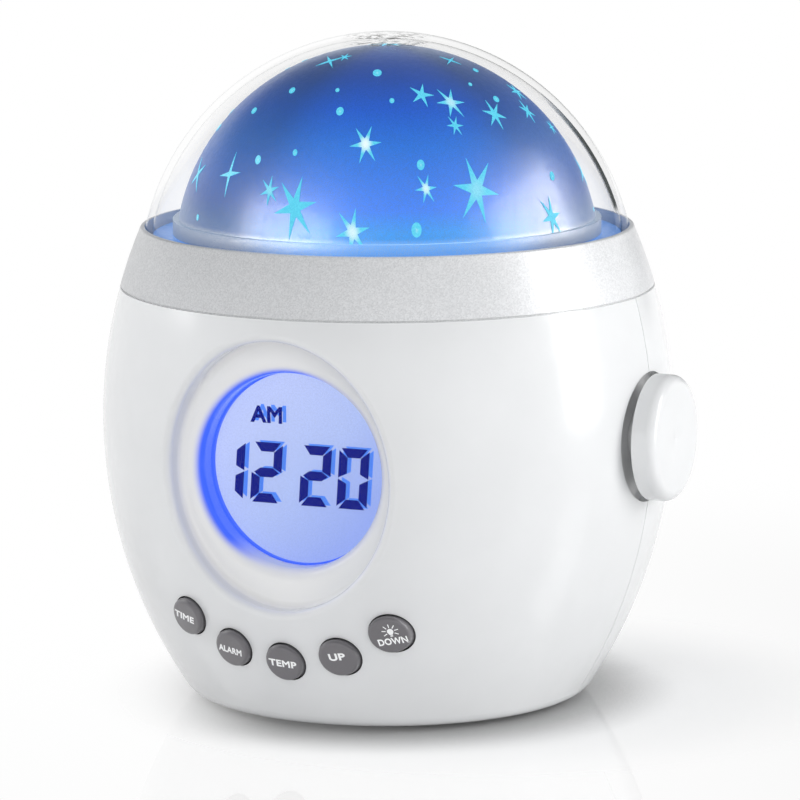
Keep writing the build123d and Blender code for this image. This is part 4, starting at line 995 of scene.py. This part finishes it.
# %% Screw tree
screw_tree = Tree("cross_screws", {
    "Head radius": ("NodeSocketFloat", 2.8 * MM),
    "Head height": ("NodeSocketFloat", 1.8 * MM),
    "Shank radius": ("NodeSocketFloat", 1.45 * MM),
    "Shank length": ("NodeSocketFloat", 14.0 * MM),
    "Finish": ("NodeSocketMaterial", zinc_steel.material),
})
given = screw_tree.start.outputs


def vector(x, y, z):
    return screw_tree.add("ShaderNodeCombineXYZ", {"X": x, "Y": y, "Z": z}).outputs[0]


def lifted(part, height):
    inputs = {"Geometry": part.outputs[0], "Translation": vector(0.0, 0.0, height)}
    return screw_tree.add("GeometryNodeTransform", inputs)


HEAD_SIDES, SHANK_SIDES = 40, 24
TOP_SHARE, BAR_LONG, BAR_SHORT, BAR_LIFT = 0.86, 1.15, 0.24, 0.95
head_radius, head_height = given["Head radius"], given["Head height"]
head = screw_tree.add("GeometryNodeMeshCone", {
    "Vertices": HEAD_SIDES, "Radius Top": screw_tree.times(head_radius, TOP_SHARE),
    "Radius Bottom": head_radius, "Depth": head_height,
})
long, short = screw_tree.times(head_radius, BAR_LONG), screw_tree.times(head_radius, BAR_SHORT)
cut = screw_tree.add("GeometryNodeMeshBoolean", {"Mesh 1": head.outputs[0]}, operation="DIFFERENCE")
for x_size, y_size in ((long, short), (short, long)):
    bar = screw_tree.add("GeometryNodeMeshCube", {"Size": vector(x_size, y_size, head_height)})
    sunk = lifted(bar, screw_tree.times(head_height, BAR_LIFT))
    screw_tree.feed(cut.inputs["Mesh 2"], sunk.outputs[0])
shank = screw_tree.add("GeometryNodeMeshCylinder", {
    "Vertices": SHANK_SIDES, "Radius": given["Shank radius"], "Depth": given["Shank length"],
})
screw = screw_tree.join(cut, lifted(shank, screw_tree.times(given["Shank length"], -0.5)))
placed = screw_tree.add("GeometryNodeInstanceOnPoints", {
    "Points": given["Geometry"], "Instance": screw.outputs[0], "Rotation": screw_tree.turned(),
})
screw_tree.close(screw_tree.add("GeometryNodeRealizeInstances", {"Geometry": placed.outputs[0]}))

# %% Set the screws
BACKWARDS, DOWNWARDS = math.radians(-90), math.radians(180)
shell_places = [(x * MM, 6.0 * MM, z * MM) for x, z in ((-34, 72.45), (34, 72.45), (-32, 14.5), (32, 14.5))]
shell_turns = [(BACKWARDS, spin, 0.0) for spin in (0.3, 1.1, 0.7, 0.1)]
door_places = [(x * MM, 0.0, 1.9 * MM) for x in (-26, 26)]
door_turns = [(DOWNWARDS, 0.0, spin) for spin in (0.4, 1.0)]
shell_screws = screw_tree.grow(
    "shell_screws", points_mesh("shell_screw_points", shell_places, turn=shell_turns),
    zinc_steel.material, "housing", "zinc_steel",
)
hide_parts("housing_screws")
captive_screws = screw_tree.grow(
    "captive_screws", points_mesh("captive_screw_points", door_places, turn=door_turns),
    zinc_steel.material, "door", "zinc_steel",
    head_radius=2.1 * MM, head_height=0.9 * MM, shank_radius=1.05 * MM, shank_length=5.85 * MM,
)
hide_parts("door_screws")
for piece, name in ((shell_screws, "housing_screws"), (captive_screws, "door_screws")):
    print(name, "CAD", [[round(x / MM, 2) for x in end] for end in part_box(name)])
    corners = [[f(v.co[i] for v in piece.data.vertices) for i in range(3)] for f in (min, max)]
    print(piece.name, [[round(x / MM, 2) for x in end] for end in corners])

# %% [markdown]
# ## Floor, light and background
# The lamp stands on a plain white sweep with a soft shadow, mostly to its right, and a faint reflection.
# That shadow is partly cast by the lamps and partly painted: a darkening where the object is close above
# the floor, made stronger towards the right. Three soft boxes light the housing: a broad one from the left,
# a tall narrow one from the right and behind, which gives the bright stripe, and a broad one from the
# front, which nothing mirrors. Two more light only the star dome, whose flakes need far more light than
# the white parts can take. The background is white to the camera and, near the horizon, to reflections,
# while the light that falls on the object stays at a plain level.

# %% Floor
SHADOW_NEAR, SHADOW_FAR = 0.03, 0.08
SHADOW_MIDDLE = screen_right * 0.02
PAINTED_SHADOW_REACH = 19 * MM
MIRROR_NEAR, MIRROR_FAR, MIRROR_SHARE = 0.10, 0.25, 0.13
FLOOR_HALF = 8.0
CORNERS = ((-1, -1), (1, -1), (1, 1), (-1, 1))
floor_mesh = bpy.data.meshes.new("floor")
floor_mesh.from_pydata([(x * FLOOR_HALF, y * FLOOR_HALF, 0) for x, y in CORNERS], [], [(0, 1, 2, 3)])
floor = bpy.data.objects.new("floor", floor_mesh)
bpy.context.scene.collection.objects.link(floor)
floor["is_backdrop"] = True
sweep = Finish("floor_white")
sweep.tree.nodes.remove(sweep.shader)


def ray_kinds(wiring):
    """Which rays look straight at a thing, and which see it mirrored, before any matt bounce."""
    path = wiring.add("ShaderNodeLightPath").outputs
    before_matt = wiring.maths("LESS_THAN", path["Diffuse Depth"], 0.5)
    unmirrored = wiring.maths("LESS_THAN", path["Glossy Depth"], 0.5)
    through = wiring.times(path["Is Transmission Ray"], before_matt)
    direct = wiring.maths("MAXIMUM", path["Is Camera Ray"], wiring.times(through, unmirrored))
    glossy = wiring.times(path["Is Glossy Ray"], before_matt)
    mirrored = wiring.maths("MAXIMUM", glossy, wiring.maths("SUBTRACT", through, unmirrored))
    return direct, mirrored, path


direct, mirrored = ray_kinds(sweep)[:2]
matt = sweep.add("ShaderNodeBsdfDiffuse", {"Color": (0.82, 0.82, 0.82, 1)})
# Painted shadow: the floor darkens where the object is close above it, more towards the right.
open_share = sweep.add("ShaderNodeAmbientOcclusion", {"Distance": PAINTED_SHADOW_REACH}, samples=8).outputs["AO"]
rightward = sweep.vector_maths("DOT_PRODUCT", sweep.place, screen_right)
painted_shadow = sweep.times(
    sweep.span(open_share, 0.95, 0.28, 0.0, 0.62), sweep.span(rightward, -0.05, -0.018, 0.08, 1.0)
)
after_painted_shadow = sweep.maths("SUBTRACT", 1.0, painted_shadow)
caught = sweep.add("ShaderNodeBsdfDiffuse", {"Color": after_painted_shadow})
white = sweep.add("ShaderNodeEmission", {"Color": (1, 1, 1, 1), "Strength": after_painted_shadow})
shine = sweep.add("ShaderNodeBsdfGlossy", {"Color": (1, 1, 1, 1), "Roughness": 0.03})
near = sweep.span(sweep.away(SHADOW_MIDDLE, (1, 1, 0)), SHADOW_NEAR, SHADOW_FAR, 0.9, 0.0)
foot_reach = sweep.away((0, 0, 0), (1, 1, 0))
mirror_share = sweep.span(foot_reach, MIRROR_NEAR, MIRROR_FAR, MIRROR_SHARE, 0.0)
polished = sweep.blend(mirror_share, sweep.blend(near, white, caught), shine)
shown = sweep.blend(sweep.maths("MAXIMUM", direct, mirrored), matt, polished)
sweep.feed(sweep.output.inputs["Surface"], shown.outputs[0])
floor_mesh.materials.append(sweep.material)

print("floor", 2 * FLOOR_HALF, "m wide, shadow kept within", SHADOW_FAR, "m")

# %% Background
AMBIENT = 0.5
CEILING_LOW, CEILING_HIGH, CEILING_SHADE = 0.20, 0.36, 0.06
FLAG_SIDE = (math.sin(math.radians(182)), -math.cos(math.radians(182)), 0)
world = bpy.data.worlds.new("studio")
bpy.context.scene.world = world
world.use_nodes = True
world.node_tree.nodes.clear()
sky = Wiring(world.node_tree, "Generated")
direct, mirrored, path = ray_kinds(sky)
ceiling = sky.span(sky.split()[2], CEILING_LOW, CEILING_HIGH, 1.0, CEILING_SHADE)
behind = sky.vector_maths("DOT_PRODUCT", sky.place, FLAG_SIDE)
ceiling = sky.times(ceiling, sky.span(behind, 0.90, 0.97, 1.0, 0.1))
after_matt = sky.maths("GREATER_THAN", path["Diffuse Depth"], 0.5)
passed = sky.times(path["Is Transmission Ray"], after_matt)
fill = sky.times(sky.maths("SUBTRACT", 1.0, passed), AMBIENT)
plain = sky.add("ShaderNodeBackground", {"Color": (0.96, 0.98, 1.0, 1), "Strength": fill})
mirror = sky.add("ShaderNodeBackground", {"Color": (1, 1, 1, 1), "Strength": ceiling})
backdrop = sky.add("ShaderNodeBackground", {"Color": (1, 1, 1, 1), "Strength": 1.0})
both = sky.blend(direct, sky.blend(mirrored, plain, mirror), backdrop)
sky.add("ShaderNodeOutputWorld", {"Surface": both.outputs[0]})
print("light from all round", AMBIENT)

# %% Soft boxes
LAMP_AIM = Vector((0, 0, 0.06))


def light_group(name, members, state):
    """The nodes that a lamp lights alone, or leaves out."""
    group = bpy.data.collections.new(name)
    for member in members:
        group.objects.link(nodes[member])
    for entry in group.collection_objects:
        entry.light_linking.link_state = state
    return group


dome_only = light_group("dome_only", ["star_dome"], "INCLUDE")
no_glare = light_group("no_glare", ["clear_dome", "star_dome"], "EXCLUDE")
white_only = light_group("white_only", ["clear_dome", "star_dome", "collar_ring"], "EXCLUDE")


def soft_box(name, turn, rise, away, wide, tall, watts, receivers=no_glare, mirrored=True):
    """An area lamp round the object: turn from the front towards the knob, rise above the floor."""
    lamp = bpy.data.lights.new(name, "AREA")
    lamp.shape = "RECTANGLE"
    lamp.size, lamp.size_y = wide, tall
    lamp.energy = watts
    holder = bpy.data.objects.new(name, lamp)
    bpy.context.scene.collection.objects.link(holder)
    a, e = math.radians(turn), math.radians(rise)
    back = Vector((math.sin(a) * math.cos(e), -math.cos(a) * math.cos(e), math.sin(e)))
    holder.location = LAMP_AIM + back * away
    holder.rotation_mode = "QUATERNION"
    holder.rotation_quaternion = (-back).to_track_quat("-Z", "Y")
    holder.visible_camera = holder.visible_transmission = False
    holder.visible_glossy = mirrored
    holder.light_linking.receiver_collection = receivers
    print(name, [round(x, 2) for x in holder.location], watts, "W")


soft_box("soft_box_left", -80, 30, 0.75, 0.45, 0.50, 1.8, white_only)
soft_box("soft_box_right", 106, 15, 0.75, 0.20, 0.60, 3.2)
soft_box("soft_box_front", 18, 18, 1.2, 0.9, 0.7, 4.2, mirrored=False)
soft_box("dome_box_left", -35, 8, 0.75, 0.75, 0.60, 21.0, dome_only)
soft_box("dome_box_right", 114, 9, 0.75, 0.80, 0.60, 23.0, dome_only)

# %% Measure the sizes and finish
low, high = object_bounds()
{"cad": [list(cad_low), list(cad_high)], "visual": [list(low), list(high)]}
print("visual box in mm", [round(x / MM, 1) for x in (*low, *high)])
